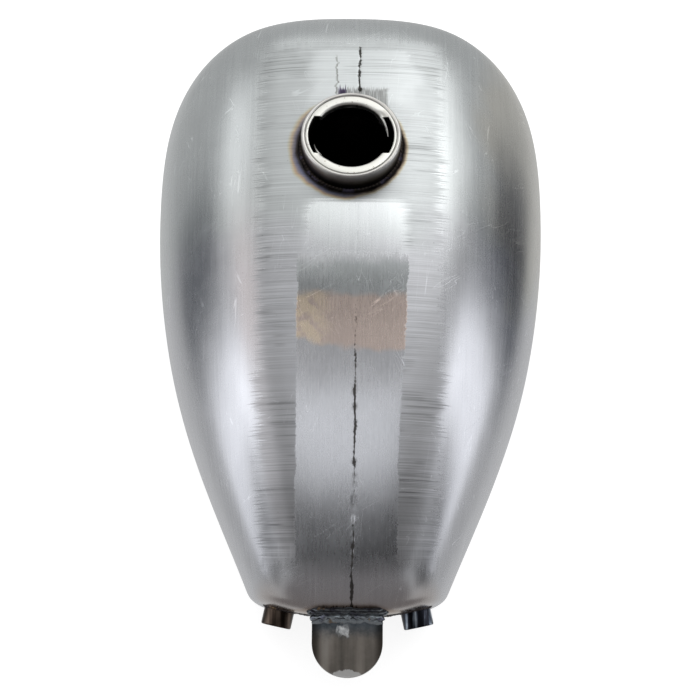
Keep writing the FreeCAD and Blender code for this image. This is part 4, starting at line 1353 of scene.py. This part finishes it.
# Soft light panels as seen from the tank: lateral angle from straight up (right positive)
# and rearward tilt, both as (low, high) in degrees, soft edge, strength, colour.
PANELS = (
    ((-30, 36), (-64, -16), 5, 0.50, (1.0, 1.0, 0.98)),
    ((2, 44), (-48, -14), 6, 0.60, (1.0, 1.0, 0.99)),
    ((8, 30), (-31, -17), 6, 1.05, WHITE),
    ((42, 56), (-34, -23), 5, 0.55, WHITE),
    ((-62, -34), (-42, -21), 5, 0.70, WHITE),
    ((-36, -22), (-50, -14), 4, -0.20, WHITE),
    ((-52, -32), (-18, 4), 4, 0.35, (1.22, 0.94, 0.86)),
    ((-112, -50), (-4, 13), 6, 1.03, (0.98, 0.99, 1.04)),
    ((-66, -32), (4, 21), 4, 0.60, (0.99, 1.0, 1.03)),
    ((50, 110), (-9, 11), 5, 0.94, (0.98, 0.99, 1.04)),
    ((38, 62), (-2, 18), 6, 0.45, (0.99, 1.0, 1.03)),
    ((-124, -74), (-27, -13), 6, -0.46, (1.02, 1.0, 0.97)),
    ((-78, -48), (-36, -24), 6, 0.12, (0.99, 1.0, 1.02)),
    ((84, 130), (-33, -22), 5, -0.50, (1.02, 1.0, 0.95)),
    ((62, 130), (-22, -14), 6, -0.50, (1.02, 1.0, 0.96)),
    ((34, 60), (-20, -10), 5, -0.33, WHITE),
    ((-14, 14), (-9, 8), 4, -0.10, WHITE),
    ((-14, 10), (-10, -4), 2, -0.46, WHITE),
    ((-16, 15), (10, 26), 3, 0.54, (0.98, 1.0, 1.05)),
    ((12, 34), (12, 30), 4, -0.24, WHITE),
    ((-104, -50), (16, 32), 4, -0.30, WHITE),
    ((40, 106), (15, 31), 4, -0.40, WHITE),
    ((-56, 56), (27, 42), 5, -0.34, WHITE),
    ((-118, -92), (4, 16), 5, -0.35, WHITE),
    ((84, 118), (8, 20), 5, -0.35, WHITE),
    ((-200, 200), (42, 120), 4, -0.32, (1.0, 1.04, 1.04)),
    ((-200, -135), (16, 42), 4, -0.32, (1.0, 1.04, 1.04)),
    ((135, 200), (16, 42), 4, -0.32, (1.0, 1.04, 1.04)),
    ((-12, 14), (-25, -15), 4, 0.40, WHITE),
    ((-34, 40), (28, 41), 3, -0.22, WHITE),
    ((-220, -140), (-50, 0), 8, 0.12, WHITE),
    ((140, 220), (-50, 0), 8, 0.12, WHITE),
)
SKY = 0.54
DARKEST = 0.04
FLOOR_HALF = 60.0           # metres, so that no view sees past its edge
FLOOR_DROP = 0.4 * MM       # gap under the tank, so that the faces don't meet
FILL_STRENGTH = 1.3
FILL_SPREAD = math.radians(70)
FILL_TILT = (math.radians(-14), math.radians(8), 0)


def make_world():
    """Soft studio: an even pale surround with broad light and dark panels."""
    g = Graph(bpy.data.worlds.new("studio"))
    x, y, z = g.split(g.add("TexCoord", output="Generated"))
    to_degrees = 180 / math.pi
    lateral = g.math("ARCTAN2", x, z) * to_degrees
    rearward = g.math("ARCTAN2", y * -1.0, g.root(x * x + z * z)) * to_degrees
    total = g.vector(SKY, SKY, SKY)
    for (left, right), (front, rear), soft, strength, colour in PANELS:
        mask = g.window(lateral, left, right, soft) * g.window(rearward, front, rear, soft)
        glow = g.brightened(tuple(c * strength for c in colour), mask)
        total = g.vector_math("ADD", total, glow)
    total = g.vector_math("MAXIMUM", total, (DARKEST,) * 3)
    shader = g.add("Background", {"Color": total, "Strength": 1.0})
    bpy.context.scene.world = g.end("World", shader)


def make_floor():
    """Large pale floor under the tank; the polished steel mirrors the studio, not the floor."""
    corners = [(x * FLOOR_HALF, y * FLOOR_HALF, 0) for x, y in ((-1, -1), (1, -1), (1, 1), (-1, 1))]
    floor = linked("floor", smooth_mesh("floor", corners, [(0, 1, 2, 3)], floor_paint()))
    floor.location.z = -FLOOR_DROP
    floor.visible_glossy = False


def make_fill_light():
    """Broad overhead light; the polished steel doesn't mirror it."""
    data = bpy.data.lights.new("overhead", "SUN")
    data.energy = FILL_STRENGTH
    data.angle = FILL_SPREAD
    light = linked("overhead", data)
    light.rotation_euler = FILL_TILT
    light.visible_glossy = False


CAMERA_ELEVATION = math.radians(58)
CAMERA_DISTANCE = 1.7
CAMERA_TARGET = np.array([0.3 * MM, 1.7 * MM, 80 * MM])
CAMERA_LENS = 142.5
CAMERA_ROLL = math.radians(0.45)


def make_camera():
    data = bpy.data.cameras.new("camera")
    data.lens = CAMERA_LENS
    data.sensor_width = 36
    camera = linked("camera", data)
    back = np.array([0, -math.cos(CAMERA_ELEVATION), math.sin(CAMERA_ELEVATION)])
    camera.location = CAMERA_TARGET + back * CAMERA_DISTANCE
    camera.rotation_euler = (math.pi / 2 - CAMERA_ELEVATION, 0, 0)
    camera.rotation_euler.rotate_axis("Z", CAMERA_ROLL)
    bpy.context.scene.camera = camera


# ---- assembly

def finish_cad_nodes():
    """Materials for the sub-parts that keep their CAD shape."""
    mill, flat = mill_steel(), flat_weld_steel()
    finishes = {"frame_tunnel": mill}
    for side, _ in SIDES:
        finishes.update({side + "_base_pan": mill, side + "_pan_weld": flat,
                         side + "_tunnel_weld": flat})
    for name, material in finishes.items():
        mesh = frame["nodes"][name].data
        mesh.materials.clear()
        mesh.materials.append(material)


def build():
    sheet, seam = sheet_steel("sheet_steel", False), sheet_steel("ground_seam", True)
    # The neck's bead is near black: heat blackening, and partly painted shade round the neck's
    # foot.
    dark_bead = weld_steel("dark_bead", (0.012, 0.010, 0.009), (0.05, 0.042, 0.036),
                           (0.05, 0.045, 0.07))
    blued_bead = weld_steel("blued_bead", (0.05, 0.052, 0.058), (0.46, 0.52, 0.56),
                            (0.28, 0.19, 0.11), 6e-6)
    plain_bead = weld_steel("plain_bead", (0.10, 0.09, 0.09), (0.38, 0.37, 0.37),
                            (0.34, 0.24, 0.14))
    plate = plate_steel()
    tree = make_skins(sheet, seam, inside_steel())
    make_round_beads(tree, dark_bead, plain_bead)
    make_mouth_beads(tree, plain_bead)
    make_collar(collar_steel())
    make_ring(ring_steel())
    make_bungs(bung_steel())
    make_tongue(plate)
    make_tongue_bead(tree, blued_bead)
    make_ears(plate)
    make_ear_beads(tree, plain_bead)
    finish_cad_nodes()
    make_floor()
    make_world()
    make_fill_light()
    make_camera()


build()
